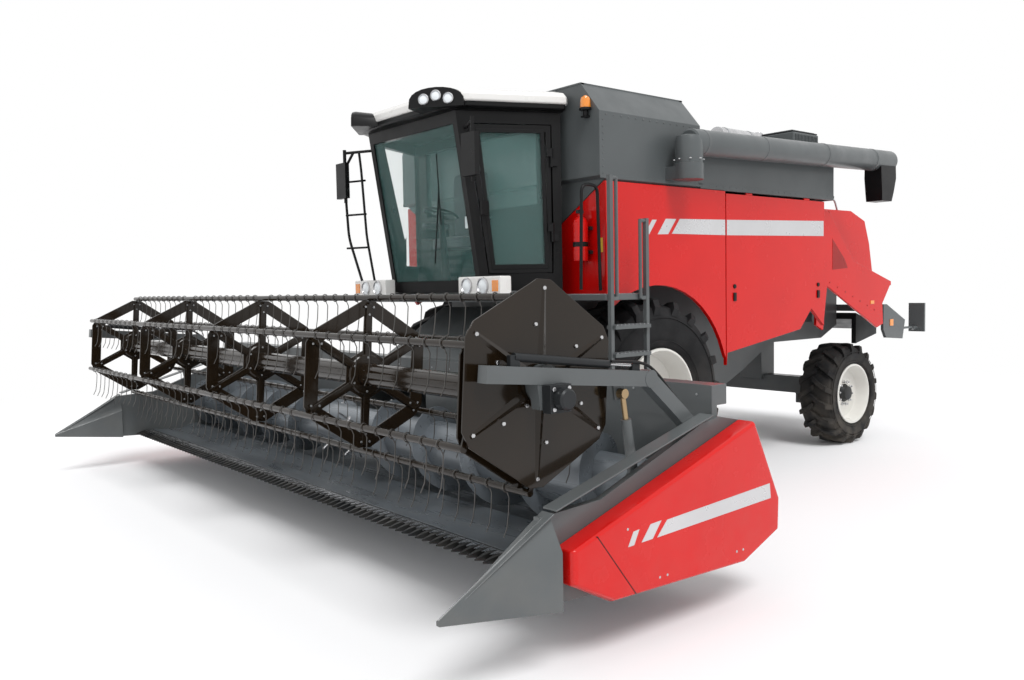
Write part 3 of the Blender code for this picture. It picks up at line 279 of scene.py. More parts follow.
# %% The list of finishes
RED = finish("red_gloss", (0.60, 0.0035, 0.0025), 0.24, coat=0.35, dust=0.05, spread=0.05,
             peel=0.015, shine=0.2)
# The darker red below is the body red with painted shade, for the hood's recessed side and its bolts.
RED_PAINTED_SHADE = finish("red_painted_shade", (0.30, 0.003, 0.002), 0.32, coat=0.2, dust=0.05, shine=0.2)
GREY = finish("grey_satin", (0.098, 0.107, 0.110), 0.36, coat=0.15, dust=0.10, shine=0.35)
GREY_TANK = finish("grey_tank", (0.086, 0.096, 0.099), 0.38, coat=0.12, spread=0.08, shine=0.35)
GREY_BLUE = finish("grey_table", (0.15, 0.17, 0.19), 0.30, metallic=0.35, dust=0.15, spread=0.2,
                   stretch=(0.4, 3.0, 3.0))
REEL = finish("reel_brown", (0.013, 0.008, 0.004), 0.14, coat=0.22, spread=0.2, shine=0.25)
BLACK = finish("black_plastic", (0.006, 0.006, 0.0065), 0.34, grain=700, peel=0.10, shine=0.22)
CREAM = finish("cream_gloss", (0.78, 0.77, 0.75), 0.28, coat=0.4, spread=0.02)
RIM = finish("rim_cream", (0.70, 0.69, 0.65), 0.34, coat=0.3, dust=0.12, spread=0.04)
RUBBER = finish("tyre_rubber", (0.010, 0.010, 0.011), 0.68, dust=0.22, grain=420, peel=0.30,
                spread=0.25, shine=0.25)
STEEL = finish("bright_steel", (0.56, 0.56, 0.57), 0.26, metallic=1.0, stretch=(1, 8, 1))
ZINC = finish("zinc_grey", (0.36, 0.37, 0.38), 0.36, metallic=0.8, grain=500, spread=0.2)
SPRING = finish("spring_steel", (0.105, 0.100, 0.095), 0.34, metallic=0.7, spread=0.25)
SILVER = finish("silver_stripe", (0.60, 0.60, 0.61), 0.30, metallic=0.55, spread=0.05)
DARK = finish("dark_iron", (0.022, 0.024, 0.026), 0.42, metallic=0.3, dust=0.12, spread=0.25,
              shine=0.3)
BRONZE = finish("bronze_rod", (0.42, 0.30, 0.17), 0.28, metallic=0.9)
LENS = finish("lens_clear", (0.86, 0.90, 0.93), 0.06, coat=1.0, grain=60, peel=0.3, spread=0.03)
AMBER = finish("lens_amber", (0.85, 0.26, 0.01), 0.12, coat=1.0, grain=90, peel=0.4)
RED_LENS = finish("lens_red", (0.60, 0.01, 0.01), 0.12, coat=1.0, grain=90, peel=0.4)
YELLOW = finish("band_yellow", (0.80, 0.55, 0.03), 0.4)


def glass_finish(name, colour, alpha):
    """Thin tinted glass: mostly clear, so that the cab's inside keeps its light."""
    material, tree, shader = blank_material(name)
    deep = tuple(c * 0.9 for c in colour[:3]) + (1,)
    link(tree, mixed(tree, ranged(tree, noise(tree, 1.2), 0, 1), deep, colour),
         shader.inputs["Base Color"])
    shader.inputs["Roughness"].default_value = 0.02
    shader.inputs["IOR"].default_value = 1.5
    shader.inputs["Alpha"].default_value = alpha
    shader.inputs["Coat Weight"].default_value = 1.0
    material.surface_render_method = "BLENDED"
    return material


def weave_finish(name, colour):
    """Woven seat cloth: two crossed waves make the threads."""
    material, tree, shader = blank_material(name)
    place = tree.nodes.new("ShaderNodeTexCoord").outputs["Object"]
    threads = []
    for direction in ("X", "Z"):
        wave = tree.nodes.new("ShaderNodeTexWave")
        wave.bands_direction = direction
        wave.inputs["Scale"].default_value = 90
        wave.inputs["Distortion"].default_value = 0.6
        link(tree, place, wave.inputs["Vector"])
        threads.append(wave.outputs["Fac"])
    top = tree.nodes.new("ShaderNodeMath")
    top.operation = "MAXIMUM"
    link(tree, threads[0], top.inputs[0])
    link(tree, threads[1], top.inputs[1])
    dark = tuple(c * 0.55 for c in colour) + (1,)
    link(tree, mixed(tree, top.outputs[0], dark, tuple(colour) + (1,)), shader.inputs["Base Color"])
    shader.inputs["Roughness"].default_value = 0.9
    shader.inputs["Sheen Weight"].default_value = 0.3
    bump(tree, shader, top.outputs[0], 0.5, 0.001)
    return material


def board_finish(name):
    """Slanted red and white reflecting bands."""
    material, tree, shader = blank_material(name)
    place = tree.nodes.new("ShaderNodeTexCoord").outputs["Object"]
    split = tree.nodes.new("ShaderNodeSeparateXYZ")
    link(tree, place, split.inputs[0])
    total = make_node(tree, "ShaderNodeMath", operation="ADD")
    link(tree, split.outputs["X"], total.inputs[0])
    link(tree, split.outputs["Z"], total.inputs[1])
    bands = make_node(tree, "ShaderNodeMath", operation="MULTIPLY")
    link(tree, total.outputs[0], bands.inputs[0])
    bands.inputs[1].default_value = 7.0
    part = make_node(tree, "ShaderNodeMath", operation="FRACT")
    link(tree, bands.outputs[0], part.inputs[0])
    above = make_node(tree, "ShaderNodeMath", operation="GREATER_THAN")
    link(tree, part.outputs[0], above.inputs[0])
    above.inputs[1].default_value = 0.5
    link(tree, mixed(tree, above.outputs[0], (0.62, 0.02, 0.02, 1), (0.85, 0.85, 0.85, 1)),
         shader.inputs["Base Color"])
    shader.inputs["Roughness"].default_value = 0.25
    bump(tree, shader, noise(tree, 260), 0.15)
    return material


GLASS = glass_finish("cab_glass", (0.36, 0.72, 0.68, 1), 0.085)
CLOTH = weave_finish("seat_cloth", (0.055, 0.058, 0.066))
BOARD = board_finish("marker_bands")
print("finishes:", len(bpy.data.materials))

# %% [markdown]
# ## Shape helpers
# All shapes are written into a bmesh as closed lofts between rings of points: a block, a
# swept tube and a turned part are the same thing with different rings. Each closed loft
# checks its own signed volume, so its faces always point outwards.


# %% Lofts, blocks, tubes and turned parts
def face_out(bm, faces):
    volume = 0.0
    for face in faces:
        first = face.verts[0].co
        for a, b in zip(face.verts[1:], face.verts[2:]):
            volume += first.dot(a.co.cross(b.co))
    if volume < 0:
        bmesh.ops.reverse_faces(bm, faces=faces)


def add_loft(bm, rings, slot=0, closed=False):
    """A solid through rings of equal length; closed joins the last ring to the first."""
    loops = [[bm.verts.new(p) for p in ring] for ring in rings]
    count = len(rings[0])
    pairs = list(zip(loops, loops[1:]))
    if closed:
        pairs.append((loops[-1], loops[0]))
    faces = []
    for low, high in pairs:
        for i in range(count):
            j = (i + 1) % count
            faces.append(bm.faces.new((low[i], low[j], high[j], high[i])))
    if not closed:
        faces.append(bm.faces.new(list(reversed(loops[0]))))
        faces.append(bm.faces.new(loops[-1]))
    for face in faces:
        face.material_index = slot
    face_out(bm, faces)
    return faces


def add_block(bm, x0, x1, y0, y1, z0, z1, slot=0):
    add_loft(bm, [[(x0, y0, z), (x1, y0, z), (x1, y1, z), (x0, y1, z)] for z in (z0, z1)], slot)


def add_plate(bm, outline, x0, x1, slot=0):
    """An outline in (y, z), thick from x0 to x1."""
    add_loft(bm, [[(x, y, z) for y, z in outline] for x in (x0, x1)], slot)


def add_tube(bm, points, radius, segs=10, slot=0, radii=None):
    """A round bar along points; radii may give each point its own radius."""
    points = [Vector(p) for p in points]
    radii = radii or [radius] * len(points)
    start = (points[1] - points[0]).normalized()
    side = start.orthogonal().normalized()
    rings = []
    for i, point in enumerate(points):
        before, after = points[max(i - 1, 0)], points[min(i + 1, len(points) - 1)]
        along = (after - before).normalized()
        side = (side - along * side.dot(along)).normalized()
        other = along.cross(side)
        rings.append([point + (side * math.cos(a) + other * math.sin(a)) * radii[i]
                      for a in (2 * math.pi * k / segs for k in range(segs))])
    add_loft(bm, rings, slot)


def bend_path(points, radius, steps=4):
    """Round the inner corners of a path."""
    points = [Vector(p) for p in points]
    path = [points[0]]
    for before, here, after in zip(points, points[1:], points[2:]):
        into = (before - here).normalized() * min(radius, (before - here).length * 0.45)
        away = (after - here).normalized() * min(radius, (after - here).length * 0.45)
        for k in range(steps + 1):
            t = k / steps
            path.append((here + into) * (1 - t) ** 2 + here * 2 * t * (1 - t)
                        + (here + away) * t ** 2)
    path.append(points[-1])
    return path


def add_turned(bm, profile, centre, segs=48, slot=0, closed=False, axis=Vector((1, 0, 0))):
    """A lathe shape: profile is (distance along the axis, radius)."""
    centre, axis = Vector(centre), Vector(axis).normalized()
    side = axis.orthogonal().normalized()
    other = axis.cross(side)
    rings = []
    for k in range(segs):
        a = 2 * math.pi * k / segs
        out = side * math.cos(a) + other * math.sin(a)
        rings.append([centre + axis * d + out * r for d, r in profile])
    if closed:
        loops = [[bm.verts.new(p) for p in ring] for ring in rings]
        faces = []
        count = len(profile)
        for low, high in zip(loops, loops[1:] + loops[:1]):
            for i in range(count):
                j = (i + 1) % count
                faces.append(bm.faces.new((low[i], low[j], high[j], high[i])))
        for face in faces:
            face.material_index = slot
        face_out(bm, faces)
    else:
        add_loft(bm, [[ring[i] for ring in rings] for i in range(len(profile))], slot)


# %% Turning a bmesh into a finished piece
SHARP = math.radians(33)


def object_from(name, bm, finishes):
    mesh = bpy.data.meshes.new(name)
    bm.to_mesh(mesh)
    bm.free()
    for material in finishes:
        mesh.materials.append(material)
    obj = bpy.data.objects.new(name, mesh)
    scene.collection.objects.link(obj)
    return obj


def apply_modifiers(obj):
    depsgraph = bpy.context.evaluated_depsgraph_get()
    mesh = bpy.data.meshes.new_from_object(obj.evaluated_get(depsgraph),
                                           preserve_all_data_layers=True, depsgraph=depsgraph)
    obj.modifiers.clear()
    obj.data = mesh


def round_edges(obj, width, segments=2):
    """Bevel every hard edge and let the flat faces keep flat shading."""
    obj.data.shade_smooth()
    bevel = obj.modifiers.new("round", "BEVEL")
    bevel.width = width
    bevel.segments = segments
    bevel.limit_method = "ANGLE"
    bevel.angle_limit = SHARP
    weighted = obj.modifiers.new("flats", "WEIGHTED_NORMAL")
    weighted.keep_sharp = True
    apply_modifiers(obj)


def make_piece(name, bm, finishes, body, replaced=(), width=0.0):
    obj = object_from(name, bm, finishes)
    if width:
        round_edges(obj, width)
    else:
        obj.data.shade_smooth()
        obj.data.set_sharp_from_angle(angle=SHARP)
    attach(obj, body)
    if replaced:
        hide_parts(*replaced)
    return obj


def body_of_node(node):
    return frame["nodes"][node]["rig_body"]


# %% [markdown]
# ## Repeats by Geometry Nodes
# Tines, guards, lugs, rungs and bolts repeat one small unit hundreds of times. Two node
# trees do all of it except the rungs, which are plain blocks: one sets the unit on a list of
# marks, the other turns it round an axle. Both end in Realize Instances and Set Material, and
# the result becomes a plain mesh.


# %% The two repeat trees
def new_tree(name, inputs):
    tree = bpy.data.node_groups.new(name, "GeometryNodeTree")
    tree.interface.new_socket("Geometry", in_out="INPUT", socket_type="NodeSocketGeometry")
    for label, kind in inputs:
        tree.interface.new_socket(label, in_out="INPUT", socket_type="NodeSocket" + kind)
    tree.interface.new_socket("Geometry", in_out="OUTPUT", socket_type="NodeSocketGeometry")
    return tree, tree.nodes.new("NodeGroupInput"), tree.nodes.new("NodeGroupOutput")


def finish_tree(tree, given, out, instances):
    realize = tree.nodes.new("GeometryNodeRealizeInstances")
    paint = tree.nodes.new("GeometryNodeSetMaterial")
    link(tree, instances, realize.inputs[0])
    link(tree, realize.outputs[0], paint.inputs["Geometry"])
    link(tree, given.outputs["Finish"], paint.inputs["Material"])
    link(tree, paint.outputs[0], out.inputs[0])


def marks_tree():
    tree, given, out = new_tree("unit_on_marks", (("Unit", "Object"), ("Turn", "Vector"),
                                                  ("Finish", "Material")))
    info = tree.nodes.new("GeometryNodeObjectInfo")
    place = tree.nodes.new("GeometryNodeInstanceOnPoints")
    link(tree, given.outputs["Unit"], info.inputs["Object"])
    link(tree, given.outputs["Geometry"], place.inputs["Points"])
    link(tree, info.outputs["Geometry"], place.inputs["Instance"])
    link(tree, given.outputs["Turn"], place.inputs["Rotation"])
    finish_tree(tree, given, out, place.outputs[0])
    return tree


def ring_tree():
    tree, given, out = new_tree("unit_round_axle", (("Unit", "Object"), ("Count", "Int"),
                                                    ("Phase", "Float"), ("Centre", "Vector"),
                                                    ("Finish", "Material")))
    info = tree.nodes.new("GeometryNodeObjectInfo")
    points = tree.nodes.new("GeometryNodePoints")
    index = tree.nodes.new("GeometryNodeInputIndex")
    share = make_node(tree, "ShaderNodeMath", operation="DIVIDE")
    turn = make_node(tree, "ShaderNodeMath", operation="MULTIPLY_ADD")
    spin = tree.nodes.new("ShaderNodeCombineXYZ")
    place = tree.nodes.new("GeometryNodeInstanceOnPoints")
    link(tree, given.outputs["Unit"], info.inputs["Object"])
    link(tree, given.outputs["Count"], points.inputs["Count"])
    link(tree, given.outputs["Centre"], points.inputs["Position"])
    link(tree, index.outputs[0], share.inputs[0])
    link(tree, given.outputs["Count"], share.inputs[1])
    link(tree, share.outputs[0], turn.inputs[0])
    turn.inputs[1].default_value = 2 * math.pi
    link(tree, given.outputs["Phase"], turn.inputs[2])
    link(tree, turn.outputs[0], spin.inputs["X"])
    link(tree, points.outputs[0], place.inputs["Points"])
    link(tree, info.outputs["Geometry"], place.inputs["Instance"])
    link(tree, spin.outputs[0], place.inputs["Rotation"])
    finish_tree(tree, given, out, place.outputs[0])
    return tree


MARKS, RING = marks_tree(), ring_tree()


def run_tree(tree, name, marks, values, smooth):
    mesh = bpy.data.meshes.new(name)
    mesh.from_pydata([tuple(m) for m in marks], [], [])
    obj = bpy.data.objects.new(name, mesh)
    scene.collection.objects.link(obj)
    modifier = obj.modifiers.new("repeat", "NODES")
    modifier.node_group = tree
    for item in tree.interface.items_tree:
        if item.in_out == "INPUT" and item.name in values:
            modifier[item.identifier] = values[item.name]
    apply_modifiers(obj)
    if smooth:
        obj.data.shade_smooth()
        obj.data.set_sharp_from_angle(angle=SHARP)
    return obj


def on_marks(name, unit, marks, finish_, body, turn=(0, 0, 0), smooth=True):
    obj = run_tree(MARKS, name, marks, {"Unit": unit, "Turn": turn, "Finish": finish_}, smooth)
    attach(obj, body)
    return obj


def round_axle(name, unit, count, phase, centre, finish_, body):
    values = {"Unit": unit, "Count": count, "Phase": phase, "Centre": centre, "Finish": finish_}
    obj = run_tree(RING, name, [], values, True)
    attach(obj, body)
    return obj


def unit_from(name, bm):
    """A unit to be repeated: kept out of the scene, read only by the node trees."""
    mesh = bpy.data.meshes.new(name)
    bm.to_mesh(mesh)
    bm.free()
    return bpy.data.objects.new(name, mesh)


def bolt_unit(radius, height):
    """A hexagon head that stands along +X, with a chamfered top."""
    bm = bmesh.new()
    rings = []
    for x, r in ((0, radius), (height * 0.7, radius), (height, radius * 0.8)):
        rings.append([(x, r * math.cos(a), r * math.sin(a))
                      for a in (math.pi / 3 * k for k in range(6))])
    add_loft(bm, rings)
    return unit_from("bolt_unit", bm)


BOLT = bolt_unit(0.012, 0.010)
RIVET = bolt_unit(0.008, 0.004)
LEFTWARDS, RIGHTWARDS = (0, 0, 0), (0, 0, math.pi)
FORWARDS, BACKWARDS, UPWARDS = (0, 0, -math.pi / 2), (0, 0, math.pi / 2), (0, -math.pi / 2, 0)
OUT = {1: LEFTWARDS, -1: RIGHTWARDS}
print("repeat trees and bolt units are ready")

# %% [markdown]
# ## Sheet metal and castings from the frame
# The frame's plates have razor edges. Real pressed sheet and welded plate have small radii
# that catch the light, so each node gets a copy with its loose triangles merged back into
# flat faces, a narrow bevel on every hard edge, and its own finish.

# %% Rounded copies of the structure
# node, finish, edge radius in metres
ROUNDED = (
    ("thresher_body", GREY, 0.010), ("front_axle", GREY, 0.010), ("rear_axle", GREY, 0.008),
    ("knuckle_left", GREY, 0.004), ("knuckle_right", GREY, 0.004),
    ("grain_tank", GREY_TANK, 0.010), ("engine_bay_cover", GREY_TANK, 0.012),
    ("engine_block", DARK, 0.020), ("side_panel_front_left", RED, 0.008),
    ("side_panel_front_right", RED, 0.008), ("side_door_left", RED, 0.010),
    ("side_door_right", RED, 0.010), ("rear_hood", RED, 0.010), ("straw_spreader", DARK, 0.004),
    ("rear_light_frame", GREY, 0.004), ("cab_frame", BLACK, 0.006), ("cab_door", BLACK, 0.006),
    ("platform", GREY, 0.006), ("ladder", GREY, 0.003), ("lamp_box_left", CREAM, 0.014),
    ("lamp_box_right", CREAM, 0.014), ("feeder_house", GREY, 0.012), ("header_back", GREY, 0.005),
    ("header_floor", GREY_BLUE, 0.004), ("header_end_left", GREY, 0.004),
    ("header_end_right", GREY, 0.004), ("end_shield_left", RED, 0.018),
    ("end_shield_right", RED, 0.018), ("cutter_bar", DARK, 0.003), ("reel_frame", REEL, 0.0015),
    ("tine_control_plate", REEL, 0.002), ("reel_arm_left", GREY, 0.006),
    ("reel_arm_right", GREY, 0.006), ("reel_cylinder_barrel_left", GREY, 0.003),
    ("reel_cylinder_barrel_right", GREY, 0.003), ("reel_cylinder_rod_left", BRONZE, 0.001),
    ("reel_cylinder_rod_right", BRONZE, 0.001), ("lift_cylinder_barrels", GREY, 0.004),
    ("lift_cylinder_rods", STEEL, 0.001), ("muffler", STEEL, 0.012),
    ("mirror_left", BLACK, 0.008), ("mirror_right", BLACK, 0.008),
    ("tine_bar_1", REEL, 0.001), ("tine_bar_2", REEL, 0.001), ("tine_bar_3", REEL, 0.001),
    ("tine_bar_4", REEL, 0.001), ("tine_bar_5", REEL, 0.001), ("tine_bar_6", REEL, 0.001),
)


def rounded_copy(node, material, width):
    bm = bmesh.new()
    bm.from_mesh(frame["nodes"][node].data)
    bmesh.ops.remove_doubles(bm, verts=bm.verts, dist=0.00002)
    bmesh.ops.dissolve_limit(bm, angle_limit=math.radians(0.8), verts=bm.verts, edges=bm.edges)
    for face in bm.faces:
        face.material_index = 0
    return make_piece(node + "_sheet", bm, [material], body_of_node(node),
                      [node], width)


for node, material, width in ROUNDED:
    rounded_copy(node, material, width)
frame["nodes"]["windscreen"].data.materials.clear()
frame["nodes"]["windscreen"].data.materials.append(GLASS)
print("rounded:", len(ROUNDED), "pieces")

# %% [markdown]
# ## Wheels
# Drive and steering tyres are cleated: bars run from the middle to the shoulder in two
# staggered rows. The carcass is turned in one closed profile, one lug is lofted and the
# ring tree repeats it. The rim is a turned dish with a bolt circle round a dark hub.

# %% Tyres, rims and hubs
# name, side, centre y, radius, width, rim radius, x of centre, lugs in a row, lug height
WHEELS = (
    ("front_wheel_left", 1, -0.70, 0.885, 0.65, 0.425, 1.225, 20, 0.045),
    ("front_wheel_right", -1, -0.70, 0.885, 0.65, 0.425, 1.225, 20, 0.045),
    ("rear_wheel_left", 1, 2.90, 0.585, 0.42, 0.325, 1.125, 18, 0.034),
    ("rear_wheel_right", -1, 2.90, 0.585, 0.42, 0.325, 1.125, 18, 0.034),
)


def lug_unit(radius, width, height, hand):
    """One cleat over the top of the tyre, from the middle out to the shoulder."""
    bm = bmesh.new()
    rings = []
    # across the tread, back along it, width of the bar, drop of its top, depth of its foot
    for across, back, thick, drop, foot in ((-0.04, 0.02, 0.060, 0.004, 0.02),
                                            (0.20, -0.14, 0.052, 0.0, 0.02),
                                            (0.41, -0.25, 0.056, 0.010, 0.04),
                                            (0.485, -0.27, 0.050, 0.075, 0.10)):
        x = hand * across * width
        y = back * width
        half = thick * width / 0.65 / 2 + 0.008
        ring = []
        for dy, deep in ((-half * 1.3, 1), (half * 1.3, 1), (half, 0), (-half, 0)):
            r = radius - (height + foot if deep else drop)
            ring.append((x, y + dy, math.sqrt(r * r - (y + dy) ** 2)))
        rings.append(ring)
    add_loft(bm, rings)
    return unit_from("lug_unit", bm)


def tyre_profile(radius, width, rim, height):
    h, crown = radius - rim, radius - height
    half = [(0.0, crown), (0.30, crown - 0.008), (0.42, crown - 0.035), (0.475, crown - 0.09),
            (0.497, rim + h * 0.55), (0.485, rim + h * 0.30), (0.44, rim + h * 0.10),
            (0.40, rim + 0.004), (0.36, rim - 0.012)]
    right = [(a * width, r) for a, r in half]
    left = [(-a * width, r) for a, r in reversed(half[1:])]
    return right + left


for name, side, cy, radius, width, rim, cx, lugs, height in WHEELS:
    centre = Vector((side * cx, cy, radius))
    bm = bmesh.new()
    add_turned(bm, tyre_profile(radius, width, rim, height), centre, 80, 0, closed=True)
    for ring_r in (rim + (radius - rim) * 0.18, rim + (radius - rim) * 0.62):
        add_turned(bm, [(width * 0.488, ring_r), (width * 0.500, ring_r + 0.004),
                        (width * 0.488, ring_r + 0.010)], centre, 64, 0, closed=True,
                   axis=Vector((side, 0, 0)))
    make_piece(name + "_tyre", bm, [RUBBER], name, [name])
    for hand in (1, -1):
        lug = lug_unit(radius, width, height, hand)
        pitch = 2 * math.pi / lugs
        round_axle(f"{name}_lugs_{'outer' if hand == side else 'inner'}", lug, lugs,
                   pitch / 2 if hand > 0 else 0.0, centre, RUBBER, name)
    bm = bmesh.new()
    out = Vector((side, 0, 0))
    w = width / 2
    dish = [(w * 0.86, rim + 0.012), (w * 0.90, rim + 0.022), (w * 0.94, rim + 0.018),
            (w * 0.95, rim), (w * 0.80, rim - 0.018), (w * 0.45, rim - 0.030),
            (w * 0.30, rim - 0.045), (w * 0.30, rim * 0.62), (w * 0.36, rim * 0.52),
            (w * 0.36, rim * 0.30), (w * 0.28, rim * 0.30), (w * 0.28, rim * 0.50),
            (w * 0.22, rim * 0.60), (w * 0.22, rim - 0.05), (-w * 0.6, rim - 0.03),
            (-w * 0.94, rim - 0.012), (-w * 0.94, rim + 0.016), (-w * 0.86, rim + 0.010)]
    add_turned(bm, dish, centre, 64, 0, closed=True, axis=out)
    add_turned(bm, [(-w * 0.30, rim * 0.34), (w * 0.34, rim * 0.34), (w * 0.52, rim * 0.26),
                    (w * 0.62, rim * 0.24), (w * 0.66, rim * 0.17), (w * 0.66, 0.004)], centre, 40,
               1, axis=out)
    make_piece(name + "_rim", bm, [RIM, DARK], name)
    bm = bmesh.new()
    circle = rim * 0.42
    rings = []
    for x, r in ((0, 0.017), (0.018, 0.017), (0.024, 0.012), (0.036, 0.010)):
        rings.append([(side * (w * 0.36 + x), r * math.cos(a), circle + r * math.sin(a))
                      for a in (math.pi / 3 * k for k in range(6))])
    add_loft(bm, rings)
    round_axle(name + "_nuts", unit_from("nut_unit", bm), 10, 0.2, centre, STEEL, name)
print("wheels:", len(WHEELS))

# %% [markdown]
# ## The reel
# Six bars carry spring-steel tines that hang straight down whatever the reel's angle,
# because the eccentric plate at the left end keeps the bars from turning. One tine is a
# thin bent wire with a coil round its bar, set on marks along each of the six bars.

# %% Tines, bolts and the creased end plates
REEL_Y, REEL_Z, REEL_R = -3.73, 1.34, 0.50
REEL_TURN = -4.0
SPIDERS = (-3.26, -1.64, 0.0, 1.64, 3.26)
TINE_PITCH = 0.148


def reel_angle(i):
    return math.radians(90 + REEL_TURN + 60 * i)


def tine_unit():
    bm = bmesh.new()
    wire, coil = 0.0032, 0.026
    path = []
    for k in range(11):
        a = math.radians(-90 + 36 * k)
        path.append((-0.014 + 0.0022 * k, coil * math.cos(a), coil * math.sin(a)))
    path += [(0.010, 0.012, -0.055), (0.010, 0.006, -0.14), (0.010, -0.006, -0.215),
             (0.010, -0.030, -0.262)]
    add_tube(bm, path, wire, 5)
    return unit_from("tine_unit", bm)


TINE = tine_unit()
TINES_IN_BAY = int((SPIDERS[1] - SPIDERS[0] - 0.10) / TINE_PITCH)
for i in range(6):
    a = reel_angle(i)
    y, z = REEL_Y + REEL_R * math.cos(a), REEL_Z + REEL_R * math.sin(a)
    marks = []
    for start, stop in zip(SPIDERS, SPIDERS[1:]):
        first = (start + stop) / 2 - (TINES_IN_BAY - 1) * TINE_PITCH / 2
        marks += [(first + k * TINE_PITCH, y, z) for k in range(TINES_IN_BAY)]
    on_marks(f"tines_{i + 1}", TINE, marks, SPRING, f"tine_bar_{i + 1}")

bm = bmesh.new()
for x in SPIDERS:
    for i in range(6):
        a = reel_angle(i)
        inner, outer = 0.09, REEL_R - 0.03
        for s in (-1, 1):
            x0 = x + s * 0.006
            ring = []
            for r in (inner, outer):
                for off in (-0.022, 0.022):
                    ring.append((REEL_Y + r * math.cos(a) - off * math.sin(a),
                                 REEL_Z + r * math.sin(a) + off * math.cos(a)))
            ring = [ring[0], ring[1], ring[3], ring[2]]
            add_loft(bm, [[(x0 + s * 0.0005, p, q) for p, q in ring],
                          [(x0 + s * 0.012, (p - REEL_Y) * 0.97 + REEL_Y,
                            (q - REEL_Z) * 0.97 + REEL_Z) for p, q in ring]])
    add_turned(bm, [(-0.020, 0.125), (-0.012, 0.135), (0.012, 0.135), (0.020, 0.125)],
               (x, REEL_Y, REEL_Z), 24)
make_piece("spider_ribs", bm, [REEL], "reel", width=0.002)
marks = {1: [], -1: []}
for x in SPIDERS:
    for i in range(6):
        for r, off in ((0.11, 0.0), (0.44, -0.03), (0.44, 0.03), (0.39, 0.0)):
            a = reel_angle(i)
            for s in (1, -1):
                marks[s].append((x + s * 0.018, REEL_Y + r * math.cos(a) - off * math.sin(a),
                                 REEL_Z + r * math.sin(a) + off * math.cos(a)))
for s in (1, -1):
    on_marks(f"spider_bolts_{'left' if s > 0 else 'right'}", RIVET, marks[s], ZINC, "reel",
             turn=OUT[s])

PLATE_X, HUB = 3.342, Vector((0, -3.71, 1.40))
bm = bmesh.new()
corners = []
for i in range(6):
    a = reel_angle(i)
    corners.append((HUB.y + 0.50 * math.cos(a), HUB.z + 0.50 * math.sin(a)))
for i, (y, z) in enumerate(corners):
    a = reel_angle(i)
    start = (HUB.y + 0.13 * math.cos(a), HUB.z + 0.13 * math.sin(a))
    add_loft(bm, [[(PLATE_X, start[0] - 0.03 * math.sin(a), start[1] + 0.03 * math.cos(a)),
                   (PLATE_X, start[0] + 0.03 * math.sin(a), start[1] - 0.03 * math.cos(a)),
                   (PLATE_X + 0.014, start[0], start[1])],
                  [(PLATE_X, y - 0.012 * math.sin(a), z + 0.012 * math.cos(a)),
                   (PLATE_X, y + 0.012 * math.sin(a), z - 0.012 * math.cos(a)),
                   (PLATE_X + 0.006, y, z)]])
make_piece("plate_creases", bm, [REEL], "tine_control_plate")
marks = []
for i in range(6):
    a = reel_angle(i)
    for r, off in ((0.485, 0.0), (0.13, 0.05), (0.30, 0.05)):
        marks.append((PLATE_X, HUB.y + r * math.cos(a) - off * math.sin(a),
                      HUB.z + r * math.sin(a) + off * math.cos(a)))
on_marks("plate_bolts", BOLT, marks, STEEL, "tine_control_plate")
print("reel: tines in a bay", TINES_IN_BAY)

# %% [markdown]
# ## The cutting table
# Under the reel runs the knife: triangular sections slide between pointed guards, three
# inches apart. Behind it turns the intake auger, whose two flights wind in opposite hands
# and push the crop to the middle, where fingers pass it to the feeder.

# %% Guards and knife sections
GUARD_PITCH = 0.0762
HALF_TABLE = 3.45


def guard_unit():
    bm = bmesh.new()
    rings = []
    for y, half, low, high in ((0.05, 0.017, -0.030, 0.016), (-0.02, 0.017, -0.028, 0.020),
                               (-0.06, 0.012, -0.020, 0.012), (-0.115, 0.004, -0.010, -0.002)):
        rings.append([(-half, y, low), (half, y, low), (half, y, high), (-half, y, high)])
    add_loft(bm, rings)
    return unit_from("guard_unit", bm)


def section_unit():
    bm = bmesh.new()
    add_loft(bm, [[(-0.036, 0.04, z), (0.036, 0.04, z), (0.007, -0.045, z), (-0.007, -0.045, z)]
                  for z in (0.014, 0.018)])
    return unit_from("section_unit", bm)


count = int(2 * HALF_TABLE / GUARD_PITCH)
marks = [(-HALF_TABLE + GUARD_PITCH * (k + 0.5), -3.60, 0.365) for k in range(count)]
on_marks("knife_guards", guard_unit(), marks, DARK, "header", smooth=False)
marks = [(-HALF_TABLE + GUARD_PITCH * (k + 1), -3.585, 0.366) for k in range(count - 1)]
on_marks("knife_sections", section_unit(), marks, STEEL, "header", smooth=False)
print("guards:", count)

# %% Intake auger
AUGER_Y, AUGER_Z, AUGER_R, TUBE_R = -2.88, 0.70, 0.30, 0.19
PITCH, STEPS = 0.58, 36
bm = bmesh.new()
add_turned(bm, [(-3.4897, 0.06), (-3.4897, TUBE_R), (3.4897, TUBE_R), (3.4897, 0.06)],
           (0, AUGER_Y, AUGER_Z), 48)
for _, side in SIDES:
    turns = int((3.36 - 0.45) / PITCH * STEPS)
    rings = []
    for k in range(turns + 1):
        a = 2 * math.pi * k / STEPS
        x = 0.45 + (3.36 - 0.45) * k / turns
        rings.append([(side * (x + dx), AUGER_Y + r * math.cos(a), AUGER_Z + r * math.sin(a))
                      for r, dx in ((TUBE_R - 0.01, -0.006), (AUGER_R, -0.003), (AUGER_R, 0.003),
                                    (TUBE_R - 0.01, 0.006))])
    add_loft(bm, rings)
for k in range(12):
    a = 2 * math.pi * k / 5
    x = -0.42 + 0.84 * k / 11
    out = Vector((0, math.cos(a), math.sin(a)))
    root = Vector((x, AUGER_Y, AUGER_Z))
    add_tube(bm, [root + out * (TUBE_R - 0.02), root + out * 0.293], 0.008, 8, 1)
    add_turned(bm, [(0, 0.028), (0.006, 0.022)], root + out * (TUBE_R - 0.001), 12, 1, axis=out)
make_piece("auger_flights", bm, [GREY_BLUE, STEEL], "intake_auger",
           ["intake_auger"])

